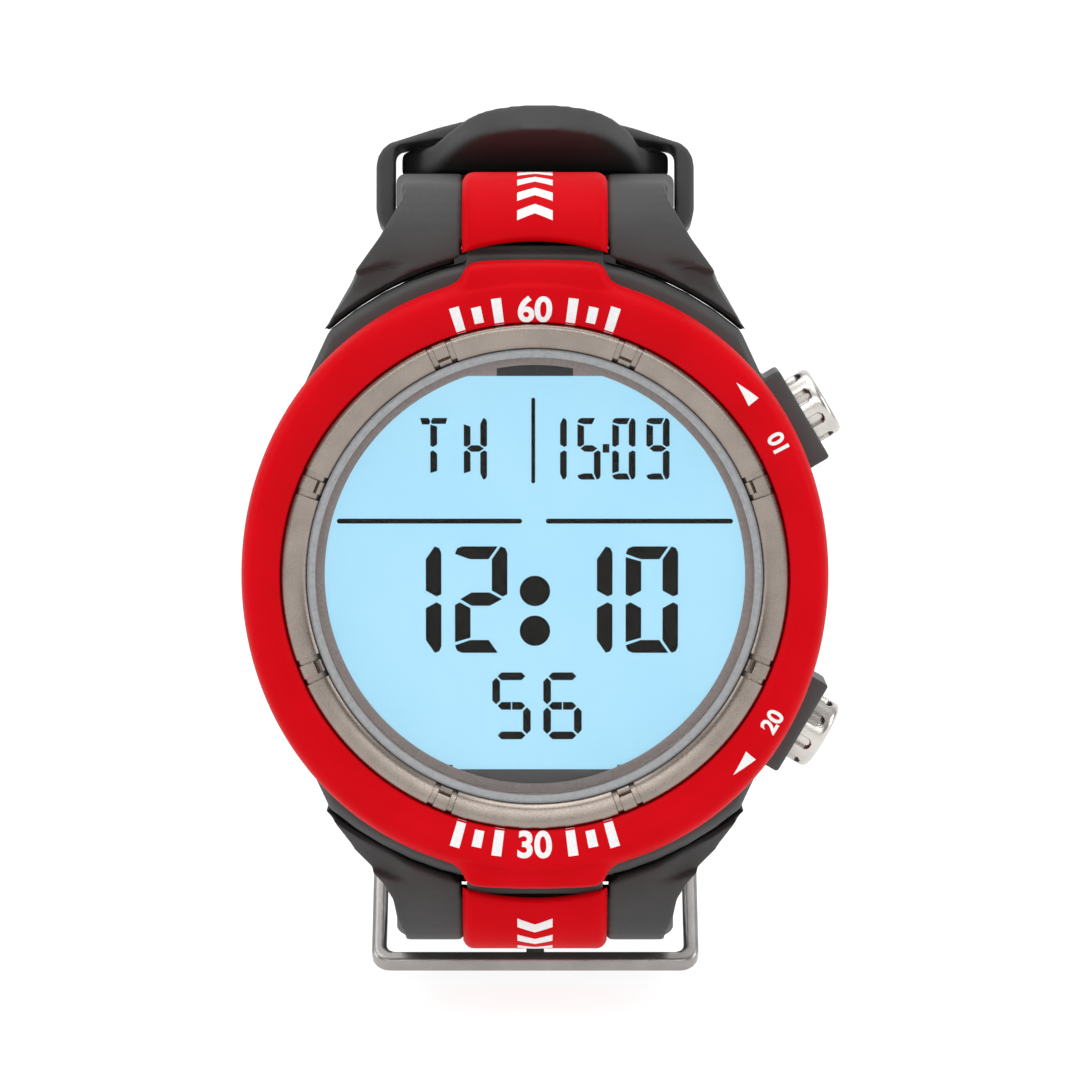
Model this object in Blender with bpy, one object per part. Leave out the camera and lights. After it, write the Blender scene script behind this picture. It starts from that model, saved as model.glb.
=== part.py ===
"""Wrist dive computer: a round digital instrument on a moulded strap with a pin buckle.

The display faces -Y, twelve o'clock is +Z and the push buttons are on the +X side. The origin is
the centre of the lens's front face. Every size below is in millimetres; the functions that make
meshes turn them into metres. A "depth" is a distance along +Y, from the lens towards the wrist.
"""

import math

import bmesh
import bpy
from mathutils import Matrix, Vector

MM = 0.001
FULL_TURN = 2 * math.pi

# Lens, bezel and display stack: radii from the display axis, and depths.
BEZEL_R = 23.05
RING_OUTER_R = 19.85
RING_INNER_R = 17.9
LENS_R = 17.0
LENS_THICK = 1.8
WINDOW_R = 17.5
FLANGE_R = 16.55
LCD_R = 16.9
LCD_TOP = 15.9
LCD_BOTTOM = -15.1
RING_BACK = 2.1
SKIRT_BACK = 4.0
NOTCH_COUNT = 8
NOTCH_HALF = 1.0
NOTCH_BLOCK_HALF = 0.55
TAB_HALF = 5.9
TAB_REACH = 24.7
BEZEL_BULGE = 0.62
BULGE_ANGLES = (30.0, 90.0)

# Case: a cup open at the back, with a shoulder ahead of each strap half.
NECK_R = 21.3
NECK_FRONT = 2.2
CASE_FRONT = 4.2
CASE_R = 22.6
CASE_BACK = 13.2
CAVITY_R = 18.5
REST_R = 20.3
REST_DEPTH = 12.2
SHOULDER_R = 25.0
SHOULDER_CORNER = (16.3, 18.95)
SHOULDER_ROOT = (20.2, 10.6)

# Strap lugs, at 12 and 6 o'clock: one central lug and a pin that runs through it.
PIN_DEPTH = 9.4
PIN_Z = 25.6
PIN_R = 0.75
PIN_HALF = 9.2
LUG_HALF = 5.4
LUG_R = 3.0
LUG_CLEAR_R = 3.4
INLAY_HALF = 5.75
INLAY_THICK = 1.0
UPPER_WING = [(16.95, 18.6), (14.6, 22.7), (14.1, 23.9), (12.3, 26.4), (10.5, 29.4), (10.0, 32.0)]
LOWER_WING = [(16.95, 18.6), (14.6, 22.4), (13.4, 23.6), (12.1, 25.0)]
LOWER_WING += [(11.3, 26.3), (11.0, 27.9), (10.4, 29.5), (10.4, 32.0)]

# Radii about the lug pin, for the upper (1) and the lower (-1) strap half.
WING_R = {1: 5.1, -1: 4.55}
INLAY_R = {1: 5.85, -1: 5.25}
BRIDGE_R = {1: 4.75, -1: 4.15}

# Push buttons: two, on axes that meet the display axis at this angle and depth.
BUTTON_ANGLE = 30.5
BUTTON_DEPTH = 7.75
BUTTON_R = 2.85
BUTTON_FACE = 26.7
BUTTON_SKIRT = 23.8
BOSS_FACE = 24.7
BOSS_HALF = 4.0
BOSS_FRONT = 4.3
BOSS_BACK = 11.3
BOSS_BEVEL = 0.5
COUNTERBORE_R = 3.0
COUNTERBORE_FLOOR = 22.6
BUTTON_BORE_R = 1.6
STEM_R = 0.9
STEM_END = 17.4

# Back of the case.
BACK_R = 20.2
BACK_FRONT = 12.7
BACK_OUTER = 13.5
SCREW_CIRCLE_R = 17.2
BATTERY_Z = 2.8
BATTERY_R = 12.25
BATTERY_FRONT = 9.35
BATTERY_BACK = 12.3
WELL_IN_R = 12.9
WELL_OUT_R = 13.8
COVER_R = 13.5
COVER_OUTER = 14.0
SENSOR_Z = -13.3

# Board and what it carries.
BOARD_R = 15.3
BOARD_FRONT = 8.1
BOARD_BACK = 8.9

# Strap loop, in the Y-Z plane.
LOOP_CENTRE = Vector((24.0, 0.0))
BAND_THICK = 3.0
BAND_HALF = 11.2
FREE_THICK = 2.3
FREE_HALF = 10.9
STRAP_GAP = 0.3
BUCKLE_PIN = Vector((33.8, -26.2))
BUCKLE_PIN_R = 0.5
FRAME_ANGLE = 222.0
FRAME_LENGTH = 12.3
FRAME_HALF = 13.6
FRAME_BAR = 1.25
FRAME_THICK = 1.5
RUN_ANGLE = -8.0
KEEPER_DEPTH = 25.0
KEEPER_WIDTH = 6.0
KEEPER_IN_HALF = 11.5
KEEPER_WALL = 1.5
KEEPER_CROWN = 2.1
SLOT_COUNT = 6
SLOT_PITCH = 9.0
SLOT_LENGTH = 6.8
SLOT_HALF = 1.3
FIRST_SLOT_DEPTH = 28.8
TIP_FINE_REACH = 9.0
# The tip's half width at distances from its end.
TIP_WIDTHS = [(0.0, 1.6), (0.4, 3.4), (1.1, 4.9), (2.5, 6.3), (5.0, 7.7), (9.0, 9.3), (13.0, 10.9)]


# ---------------------------------------------------------------- materials

def look(name, colour, roughness, metallic=0.0):
    made = bpy.data.materials.new(name)
    made.use_nodes = True
    shader = made.node_tree.nodes["Principled BSDF"]
    shader.inputs["Base Color"].default_value = (*colour, 1.0)
    shader.inputs["Roughness"].default_value = roughness
    shader.inputs["Metallic"].default_value = metallic
    return made


def make_looks():
    return {
        "case": look("case_polymer", (0.052, 0.052, 0.053), 0.5),
        "strap": look("strap_elastomer", (0.045, 0.043, 0.043), 0.6),
        "red": look("red_polymer", (0.62, 0.008, 0.018), 0.45),
        "ring": look("gunmetal", (0.30, 0.27, 0.245), 0.32, 1.0),
        "steel": look("steel", (0.62, 0.61, 0.59), 0.22, 1.0),
        "lens": look("mineral_glass", (0.75, 0.85, 0.88), 0.05),
        "rubber": look("seal_rubber", (0.16, 0.18, 0.19), 0.6),
        "flange": look("flange_grey", (0.17, 0.14, 0.12), 0.5),
        "lcd": look("lcd_glass", (0.40, 0.70, 0.92), 0.35),
        "white": look("white_polymer", (0.8, 0.8, 0.78), 0.5),
        "zebra": look("connector_elastomer", (0.75, 0.55, 0.35), 0.6),
        "board": look("circuit_board", (0.02, 0.16, 0.07), 0.5),
        "chip": look("chip_package", (0.03, 0.03, 0.03), 0.5),
        "brass": look("brass", (0.75, 0.55, 0.25), 0.3, 1.0),
    }


# ---------------------------------------------------------------- mesh tools

def clear_scene():
    for obj in list(bpy.data.objects):
        bpy.data.objects.remove(obj, do_unlink=True)


def add_object(name, bm, finish, matrix=None):
    """Turns a bmesh, drawn in millimetres, into an object at its place in metres."""
    bmesh.ops.remove_doubles(bm, verts=bm.verts, dist=1e-5)
    bmesh.ops.recalc_face_normals(bm, faces=bm.faces)
    bmesh.ops.scale(bm, vec=(MM, MM, MM), verts=bm.verts)
    mesh = bpy.data.meshes.new(name)
    bm.to_mesh(mesh)
    bm.free()
    mesh.shade_smooth()
    mesh.set_sharp_from_angle(angle=math.radians(32))
    mesh.materials.append(finish)
    obj = bpy.data.objects.new(name, mesh)
    bpy.context.scene.collection.objects.link(obj)
    if matrix is not None:
        obj.matrix_world = matrix
    return obj


def placed(at, axis):
    """The matrix that takes local +Z to axis and the local origin to the point at, in millimetres."""
    turn = Vector(axis).to_track_quat("Z", "Y").to_matrix().to_4x4()
    return Matrix.Translation(Vector(at) * MM) @ turn


def move_origin(obj, point):
    """Puts an unrotated object's origin on the point, in millimetres, and leaves its shape in place."""
    shift = Vector(point) * MM - obj.location
    obj.data.transform(Matrix.Translation(-shift))
    obj.location += shift


def turned(name, profile, finish, at=(0, 0, 0), axis=(0, 1, 0), steps=40):
    """A closed outline of (radius, distance along the axis) turned through a full circle."""
    bm = bmesh.new()
    rings = []
    for radius, height in profile:
        if radius == 0:
            rings.append([bm.verts.new((0, 0, height))] * steps)
            continue
        angles = [FULL_TURN * k / steps for k in range(steps)]
        around = [(radius * math.cos(a), radius * math.sin(a), height) for a in angles]
        rings.append([bm.verts.new(point) for point in around])
    for ring, after in zip(rings, rings[1:] + rings[:1]):
        if ring[0] is ring[1] and after[0] is after[1]:
            continue
        for k in range(steps):
            corners = [ring[k], ring[(k + 1) % steps], after[(k + 1) % steps], after[k]]
            bm.faces.new(list(dict.fromkeys(corners)))
    return add_object(name, bm, finish, placed(at, axis))


def rod(name, radius, start, end, finish, at=(0, 0, 0), axis=(0, 1, 0), steps=24):
    profile = [(0, start), (radius, start), (radius, end), (0, end)]
    return turned(name, profile, finish, at, axis, steps)


def prism(name, outline, start, end, finish, along="Y", matrix=None):
    """An outline extruded along an axis: (x, z) points along Y, (y, z) along X, (x, y) along Z."""
    to_space = {
        "X": lambda u, v, w: (w, u, v),
        "Y": lambda u, v, w: (u, w, v),
        "Z": lambda u, v, w: (u, v, w),
    }[along]
    bm = bmesh.new()
    low = [bm.verts.new(to_space(u, v, start)) for u, v in outline]
    high = [bm.verts.new(to_space(u, v, end)) for u, v in outline]
    bm.faces.new(low)
    bm.faces.new(high)
    for k in range(len(outline)):
        after = (k + 1) % len(outline)
        bm.faces.new([low[k], low[after], high[after], high[k]])
    return add_object(name, bm, finish, matrix)


def layered(name, layers, finish):
    """Same-sized outlines of (x, z) points, one at each depth, joined into a closed shell."""
    bm = bmesh.new()
    rows = [[bm.verts.new((x, depth, z)) for x, z in outline] for depth, outline in layers]
    bm.faces.new(rows[0])
    bm.faces.new(rows[-1])
    for row, after in zip(rows, rows[1:]):
        for k in range(len(row)):
            following = (k + 1) % len(row)
            bm.faces.new([row[k], row[following], after[following], after[k]])
    return add_object(name, bm, finish)


def box(name, low, high, finish):
    outline = [(low[0], low[1]), (high[0], low[1]), (high[0], high[1]), (low[0], high[1])]
    return prism(name, outline, low[2], high[2], finish, along="Z")


def soften(obj, width, segments=2):
    """Rounds the object's sharp edges."""
    bevel = obj.modifiers.new("soften", "BEVEL")
    bevel.width = width * MM
    bevel.segments = segments
    bevel.limit_method = "ANGLE"
    bevel.angle_limit = math.radians(40)


def combine(obj, helper, operation):
    helper.hide_render = True
    helper.display_type = "WIRE"
    step = obj.modifiers.new(helper.name, "BOOLEAN")
    step.operation = operation
    step.object = helper
    step.solver = "EXACT"


def cut(obj, *helpers):
    for helper in helpers:
        combine(obj, helper, "DIFFERENCE")


def join(obj, *helpers):
    for helper in helpers:
        combine(obj, helper, "UNION")


def arc(centre, radius, first, last, count):
    """Points on a circle, from one angle to another, in degrees."""
    angles = [math.radians(first + (last - first) * k / (count - 1)) for k in range(count)]
    return [(centre[0] + radius * math.cos(a), centre[1] + radius * math.sin(a)) for a in angles]


# ---------------------------------------------------------------- paths of the strap

def smooth_path(points, spacing):
    """Evenly spaced points on a Catmull-Rom curve through the given points."""
    knots = [2 * points[0] - points[1], *points, 2 * points[-1] - points[-2]]
    dense = []
    for before, start, end, after in zip(knots, knots[1:], knots[2:], knots[3:]):
        for k in range(20):
            t = k / 20
            bend = (end - before) * t
            bend += (2 * before - 5 * start + 4 * end - after) * t**2
            bend += (3 * start - before - 3 * end + after) * t**3
            dense.append(start + bend / 2)
    dense.append(points[-1])
    return respaced(dense, spacing)


def respaced(dense, spacing):
    lengths = [0.0]
    for start, end in zip(dense, dense[1:]):
        lengths.append(lengths[-1] + (end - start).length)
    count = max(2, round(lengths[-1] / spacing))
    path = []
    index = 0
    for k in range(count + 1):
        target = lengths[-1] * k / count
        while index < len(dense) - 2 and lengths[index + 1] < target:
            index += 1
        part = (target - lengths[index]) / (lengths[index + 1] - lengths[index])
        path.append(dense[index].lerp(dense[index + 1], part))
    return path


def tangents(path):
    ahead = path[1:] + path[-1:]
    behind = path[:1] + path[:-1]
    return [(end - start).normalized() for start, end in zip(behind, ahead)]


def outward(point, tangent):
    """The unit normal of the path that points away from the inside of the loop."""
    normal = Vector((-tangent.y, tangent.x))
    return normal if normal.dot(point - LOOP_CENTRE) > 0 else -normal


def offset_path(path, distance):
    return [p + outward(p, t) * distance for p, t in zip(path, tangents(path))]


def ribbon(name, path, half_widths, thicknesses, finish, chamfer=0.4):
    """A strap along a path in the Y-Z plane, with chamfered edges."""
    bm = bmesh.new()
    rows = []
    for point, tangent, half, thick in zip(path, tangents(path), half_widths, thicknesses):
        normal = outward(point, tangent)
        edge = thick / 2
        inset = min(chamfer, half / 2)
        section = [
            (-half, -edge + inset), (-half + inset, -edge), (half - inset, -edge), (half, -edge + inset),
            (half, edge - inset), (half - inset, edge), (-half + inset, edge), (-half, edge - inset),
        ]
        row = []
        for across, up in section:
            place = point + normal * up
            row.append(bm.verts.new((across, place.x, place.y)))
        rows.append(row)
    bm.faces.new(rows[0])
    bm.faces.new(rows[-1])
    for row, after in zip(rows, rows[1:]):
        for k in range(len(row)):
            following = (k + 1) % len(row)
            bm.faces.new([row[k], row[following], after[following], after[k]])
    return add_object(name, bm, finish)


def upper_centreline():
    """From the top of the upper lug, back and round the wrist, to the buckle pin."""
    run = Vector((math.cos(math.radians(RUN_ANGLE)), math.sin(math.radians(RUN_ANGLE))))
    run_start = Vector((19.0, 29.6))
    wrist = [(39.6, 24.3), (44.3, 17.2), (46.3, 8.0), (46.1, -3.0), (43.8, -13.2), (39.6, -20.7)]
    points = [Vector((10.6, 29.2)), Vector((14.5, 29.45)), run_start]
    points += [run_start + 7 * run, run_start + 14 * run]
    points += [Vector(p) for p in wrist] + [BUCKLE_PIN]
    return smooth_path(points, 2.6)


def lower_centreline():
    """From the lower lug, through the buckle, round outside the upper strap, to the free tip."""
    across = (BAND_THICK + FREE_THICK) / 2 + STRAP_GAP
    outer_run = offset_path(upper_centreline(), across)
    outer_run = [p for p in outer_run if p.x > 20.4 and (p.y > -22 or p.x > 42)]
    start = [(10.6, -28.7), (15.0, -28.9), (19.5, -29.4), (24.0, -30.45), (29.6, -31.1), (35.8, -29.5)]
    start = [Vector(p) for p in start]
    lift = math.radians(28)
    tip_root = outer_run[0]
    tip = [tip_root + Vector((-math.cos(lift), math.sin(lift))) * reach for reach in (2.6, 7.4)]
    points = start + outer_run[::-3] + [tip_root] + tip
    band = [p for p in smooth_path(points, 2.6) if (p - tip[-1]).length > TIP_FINE_REACH]
    near = [p for p in smooth_path(points, 1.2) if 2.6 < (p - tip[-1]).length < TIP_FINE_REACH - 0.4]
    return band + near + [p for p in smooth_path(points, 0.45) if (p - tip[-1]).length < 2.4]


def taper(path, before, after, start, end):
    """One value for each point: before up to the fraction start of the length, after from end."""
    lengths = [0.0]
    for one, following in zip(path, path[1:]):
        lengths.append(lengths[-1] + (following - one).length)
    values = []
    for length in lengths:
        part = (length / lengths[-1] - start) / (end - start)
        values.append(before + (after - before) * min(1.0, max(0.0, part)))
    return values


# ---------------------------------------------------------------- bezel, lens and display

def make_bezel_cover(looks):
    profile = [
        (19.95, 0.7), (19.95, -0.45), (20.35, -0.8), (20.9, -1.08), (21.4, -1.2), (21.95, -1.13),
        (22.45, -0.85), (22.8, -0.4), (23.0, 0.2), (BEZEL_R, 1.0), (BEZEL_R, 2.4), (22.85, SKIRT_BACK),
        (21.75, SKIRT_BACK), (21.4, 3.6), (21.4, 0.7),
    ]
    cover = turned("bezel_cover", profile, looks["red"], steps=72)
    bulge(cover)
    side = [
        (-0.98, 21.8), (-0.75, 22.8), (-0.1, 23.7), (0.8, 24.35), (2.0, TAB_REACH),
        (SKIRT_BACK, TAB_REACH),
        (SKIRT_BACK, 21.8),
    ]
    front = [(-9.4, 20.9), (-8.2, 21.95), (-7.0, 22.75), (-6.2, 23.6), (-TAB_HALF, 24.2)]
    front += [(-5.2, TAB_REACH)]
    front += [(-x, z) for x, z in reversed(front)]
    for name, sign in (("upper", 1), ("lower", -1)):
        tab = prism(name + "_tab", [(y, sign * z) for y, z in side], -10, 10, looks["red"], along="X")
        mask = prism(name + "_tab_mask", [(x, sign * z) for x, z in front], -2, 6, looks["red"])
        combine(tab, mask, "INTERSECT")
        join(cover, tab)


def bulge(cover):
    """Swells the cover's outer edge towards both straps, so that it is a little taller than wide."""
    inner = 21.4 * MM
    for vertex in cover.data.vertices:
        radius = math.hypot(vertex.co.x, vertex.co.z)
        if radius <= inner:
            continue
        off = math.degrees(math.atan2(abs(vertex.co.x), abs(vertex.co.z)))
        part = min(1.0, max(0.0, (off - BULGE_ANGLES[0]) / (BULGE_ANGLES[1] - BULGE_ANGLES[0])))
        swell = BEZEL_BULGE * MM * (1 - part * part * (3 - 2 * part))
        grown = 1 + swell * (radius - inner) / (BEZEL_R * MM - inner) / radius
        vertex.co.x *= grown
        vertex.co.z *= grown


def make_bezel_ring(looks):
    profile = [
        (RING_INNER_R, 0.0), (18.15, -0.25), (18.6, -0.42), (19.4, -0.5), (19.75, -0.35),
        (RING_OUTER_R, -0.1), (RING_OUTER_R, 0.9), (21.2, 0.9), (21.2, RING_BACK),
        (RING_INNER_R, RING_BACK),
    ]
    ring = turned("bezel_ring", profile, looks["ring"], steps=64)
    for k in range(NOTCH_COUNT):
        turn = Matrix.Rotation(FULL_TURN * (k + 0.5) / NOTCH_COUNT, 4, "Y")
        for side in (-1, 1):
            near = side * NOTCH_BLOCK_HALF
            far = side * NOTCH_HALF
            name = f"notch_{k}_{side}"
            groove = box(name, (min(near, far), -2, 17.5), (max(near, far), -0.12, 20.4), looks["ring"])
            groove.matrix_world = turn
            cut(ring, groove)


def make_display(looks):
    lens = [(0, 0), (16.75, 0), (LENS_R, 0.25), (LENS_R, LENS_THICK), (0, LENS_THICK)]
    turned("lens", lens, looks["lens"], steps=48)
    seal = [(17.1, 0.05), (17.8, 0.05), (17.8, 2.1), (17.1, 2.1)]
    turned("lens_gasket", seal, looks["rubber"], steps=40)
    flange = [(FLANGE_R, 1.9), (17.0, 1.9), (17.0, 2.2), (FLANGE_R, 2.2)]
    turned("display_flange", flange, looks["flange"], steps=40)
    lcd = rod("lcd_panel", LCD_R, 2.3, 3.6, looks["lcd"], steps=48)
    cut(
        lcd,
        box("lcd_top_cut", (-12, 2, LCD_TOP), (12, 4, 20), looks["lcd"]),
        box("lcd_bottom_cut", (-12, 2, -20), (12, 4, LCD_BOTTOM), looks["lcd"]),
    )
    carrier = [(15.8, 3.75), (17.0, 3.75), (17.0, 2.3), (17.4, 2.3), (17.4, 5.0), (15.8, 5.0)]
    turned("display_frame", carrier, looks["chip"], steps=40)
    backlight = rod("backlight_plate", 13.7, 3.7, 4.3, looks["white"], steps=36)
    cut(
        backlight,
        box("backlight_top_cut", (-8, 3, 13.6), (8, 5, 15), looks["white"]),
        box("backlight_bottom_cut", (-8, 3, -15), (8, 5, -13.6), looks["white"]),
    )
    box("zebra_strip_top", (-4.5, 3.7, 14.0), (4.5, 8.0, 14.6), looks["zebra"])
    box("zebra_strip_bottom", (-4.5, 3.7, -14.6), (4.5, 8.0, -14.0), looks["zebra"])


def make_board(looks):
    rod("main_board", BOARD_R, BOARD_FRONT, BOARD_BACK, looks["board"], steps=40)
    box("processor_chip", (-1.0, 7.0, -1.5), (7.0, 8.0, 6.5), looks["chip"])
    box("quartz_can", (-10.5, 6.7, 3.0), (-4.5, 8.0, 4.8), looks["steel"])
    buzzer = [(0, 6.6), (0.8, 6.6), (0.8, 6.9), (4.5, 6.9), (4.5, 8.0), (0, 8.0)]
    turned("piezo_buzzer", [(r, y - 7) for r, y in buzzer], looks["brass"], at=(-5.5, 7, -6.5), steps=32)
    sensor = [(0, -4), (2.1, -4), (2.1, -2.3), (1.5, -2.3), (1.5, 0), (1.0, 0), (1.0, -0.6), (0, -0.6)]
    turned("pressure_sensor", sensor, looks["steel"], at=(0, 13.0, SENSOR_Z), steps=24)


# ---------------------------------------------------------------- buttons

def button_axis(sign):
    angle = math.radians(BUTTON_ANGLE)
    return Vector((math.cos(angle), 0, sign * math.sin(angle)))


def make_button(name, sign, looks):
    at = (0, BUTTON_DEPTH, 0)
    axis = button_axis(sign)
    profile = [
        (0, STEM_END), (STEM_R, STEM_END), (STEM_R, 17.85), (0.7, 17.85), (0.7, 18.4), (STEM_R, 18.4),
        (STEM_R, 20.4), (0.62, 20.4), (0.62, 20.95), (STEM_R, 20.95), (STEM_R, 25.4), (2.3, 25.4),
        (2.3, BUTTON_SKIRT), (BUTTON_R, BUTTON_SKIRT), (BUTTON_R, 26.2), (2.7, 26.52),
        (2.35, BUTTON_FACE), (0, BUTTON_FACE),
    ]
    turned(name + "_button", profile, looks["steel"], at, axis, steps=32)
    sleeve = [(1.02, 19.0), (1.5, 19.0), (1.5, 22.4), (1.02, 22.4)]
    turned(name + "_sleeve", sleeve, looks["brass"], at, axis, steps=24)
    ring = arc((0.83, 20.68), 0.15, 0, 300, 6)
    turned(name + "_o_ring", ring, looks["rubber"], at, axis, steps=16)
    clip = rod(name + "_retaining_clip", 1.5, 18.0, 18.3, looks["steel"], at, axis, steps=24)
    cut(clip, rod(name + "_clip_hole", 0.74, 17.5, 18.8, looks["steel"], at, axis, steps=16))
    opening = box(name + "_clip_gap", (-0.5, -3, 17.5), (0.5, 0, 18.8), looks["steel"])
    opening.matrix_world = placed(at, axis)
    cut(clip, opening)
    make_button_spring(name + "_spring", looks, at, axis)
    low = BUTTON_DEPTH - BOARD_FRONT + 0.1
    switch = box(name + "_switch", (-1.6, low, 13.4), (1.6, low + 1.35, 16.35), looks["chip"])
    switch.matrix_world = boss_matrix(sign)


def make_button_spring(name, looks, at, axis):
    """A coil round the stem, between the counterbore's floor and the inside of the cap."""
    turns = 3.5
    low = COUNTERBORE_FLOOR + 0.3
    high = 25.1
    wire_r = 0.16
    coil_r = 1.6
    steps = 12
    bm = bmesh.new()
    rows = []
    total = int(turns * steps)
    for k in range(total + 1):
        angle = FULL_TURN * k / steps
        out = Vector((math.cos(angle), math.sin(angle), 0))
        centre = out * coil_r + Vector((0, 0, low + (high - low) * k / total))
        corners = arc((0, 0), wire_r, 0, 288, 5)
        rows.append([bm.verts.new(centre + out * u + Vector((0, 0, v))) for u, v in corners])
    bm.faces.new(rows[0])
    bm.faces.new(rows[-1])
    for row, after in zip(rows, rows[1:]):
        for k in range(len(row)):
            following = (k + 1) % len(row)
            bm.faces.new([row[k], row[following], after[following], after[k]])
    add_object(name, bm, looks["steel"], placed(at, axis))


# ---------------------------------------------------------------- case

def case_outline(inset):
    """The case seen from the front: a circle with a shoulder at each side of both lugs."""
    circle_r = CASE_R - inset
    shoulder_r = SHOULDER_R - inset
    root = Vector(SHOULDER_ROOT) * (1 - inset / BEZEL_R)
    corner = Vector(SHOULDER_CORNER) * (1 - inset / SHOULDER_R)
    root_angle = math.degrees(math.atan2(root.y, root.x))
    corner_angle = math.degrees(math.atan2(corner.y, corner.x))
    right = arc((0, 0), circle_r, -root_angle + 1, root_angle - 1, 11)
    top = [tuple(root)] + arc((0, 0), shoulder_r, corner_angle, 180 - corner_angle, 15)
    top.append((-root.x, root.y))
    left = [(-x, z) for x, z in reversed(right)]
    bottom = [(x, -z) for x, z in reversed(top)]
    return right + top + left + bottom


def make_case_body(looks):
    black = looks["case"]
    layers = [
        (CASE_FRONT, case_outline(0.5)), (CASE_FRONT + 0.5, case_outline(0.0)), (9.6, case_outline(0.0)),
        (12.2, case_outline(0.7)), (CASE_BACK, case_outline(1.3)),
    ]
    case = layered("case_body", layers, black)
    neck = rod("case_neck", NECK_R, NECK_FRONT, CASE_FRONT + 1, black, steps=48)
    join(case, neck, *lug_blocks(black), *button_bosses(black))
    cavity = [
        (0, 1), (WINDOW_R, 1), (WINDOW_R, 5.1), (CAVITY_R, 5.1), (CAVITY_R, REST_DEPTH),
        (REST_R, REST_DEPTH), (REST_R, 15), (0, 15),
    ]
    cut(case, turned("case_cavity", cavity, black, steps=48))
    join(case, *screw_posts(black))
    cut(case, *button_bores(black))
    for name, z in (("upper", PIN_Z), ("lower", -PIN_Z)):
        at = (0, PIN_DEPTH, z)
        cut(case, rod(name + "_lug_bore", PIN_R + 0.1, -8, 8, black, at, axis=(1, 0, 0)))


def lug_blocks(black):
    """The lug that stands between the strap's two wings, with the ledge ahead of it."""
    blocks = []
    for name, sign in (("upper", 1), ("lower", -1)):
        nose = [(y, sign * z) for y, z in arc((PIN_DEPTH, PIN_Z), LUG_R, 0, 180, 13)]
        outline = [(PIN_DEPTH + LUG_R, sign * 21), *nose, (PIN_DEPTH - LUG_R, sign * 21)]
        blocks.append(prism(name + "_lug", outline, -LUG_HALF, LUG_HALF, black, along="X"))
        ledge = [(CASE_FRONT, 23), (CASE_FRONT, 25.1), (4.7, 25.4), (4.8, 25.8), (7.2, 25.8), (7.2, 23)]
        ledge = [(y, sign * z) for y, z in ledge]
        blocks.append(prism(name + "_ledge", ledge, -LUG_HALF, LUG_HALF, black, along="X"))
    return blocks


def button_bosses(black):
    bosses = []
    for name, sign in (("sel", 1), ("esc", -1)):
        front, back = BUTTON_DEPTH - BOSS_FRONT, BUTTON_DEPTH - BOSS_BACK
        outline = [(-BOSS_HALF, front), (BOSS_HALF, front), (BOSS_HALF, back + BOSS_BEVEL)]
        outline += [(BOSS_HALF - 0.8, back), (-BOSS_HALF + 0.8, back), (-BOSS_HALF, back + BOSS_BEVEL)]
        boss = prism(name + "_boss", outline, 19.5, BOSS_FACE, black, along="Z")
        boss.matrix_world = boss_matrix(sign)
        bosses.append(boss)
    return bosses


def boss_matrix(sign):
    """Local +Z runs out along the button's axis, and local -Y towards the back of the case."""
    out = button_axis(sign)
    back = Vector((0, 1, 0))
    turn = Matrix((out.cross(back), -back, out)).transposed()
    return Matrix.Translation((0, BUTTON_DEPTH * MM, 0)) @ turn.to_4x4()


def button_bores(black):
    bores = []
    for name, sign in (("sel", 1), ("esc", -1)):
        profile = [
            (0, 15), (BUTTON_BORE_R, 15), (BUTTON_BORE_R, COUNTERBORE_FLOOR),
            (COUNTERBORE_R, COUNTERBORE_FLOOR), (COUNTERBORE_R, 28), (0, 28),
        ]
        at = (0, BUTTON_DEPTH, 0)
        bores.append(turned(name + "_bore", profile, black, at, button_axis(sign), steps=28))
    return bores


def screw_places():
    reach = SCREW_CIRCLE_R * math.sqrt(0.5)
    return [(reach, reach), (-reach, reach), (-reach, -reach), (reach, -reach)]


def screw_posts(black):
    posts = []
    for k, (x, z) in enumerate(screw_places()):
        profile = [(0.5, 9.6), (1.4, 9.6), (1.4, REST_DEPTH), (0.5, REST_DEPTH)]
        posts.append(turned(f"screw_post_{k}", profile, black, at=(x, 0, z), steps=20))
    return posts


# ---------------------------------------------------------------- back and battery

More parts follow.
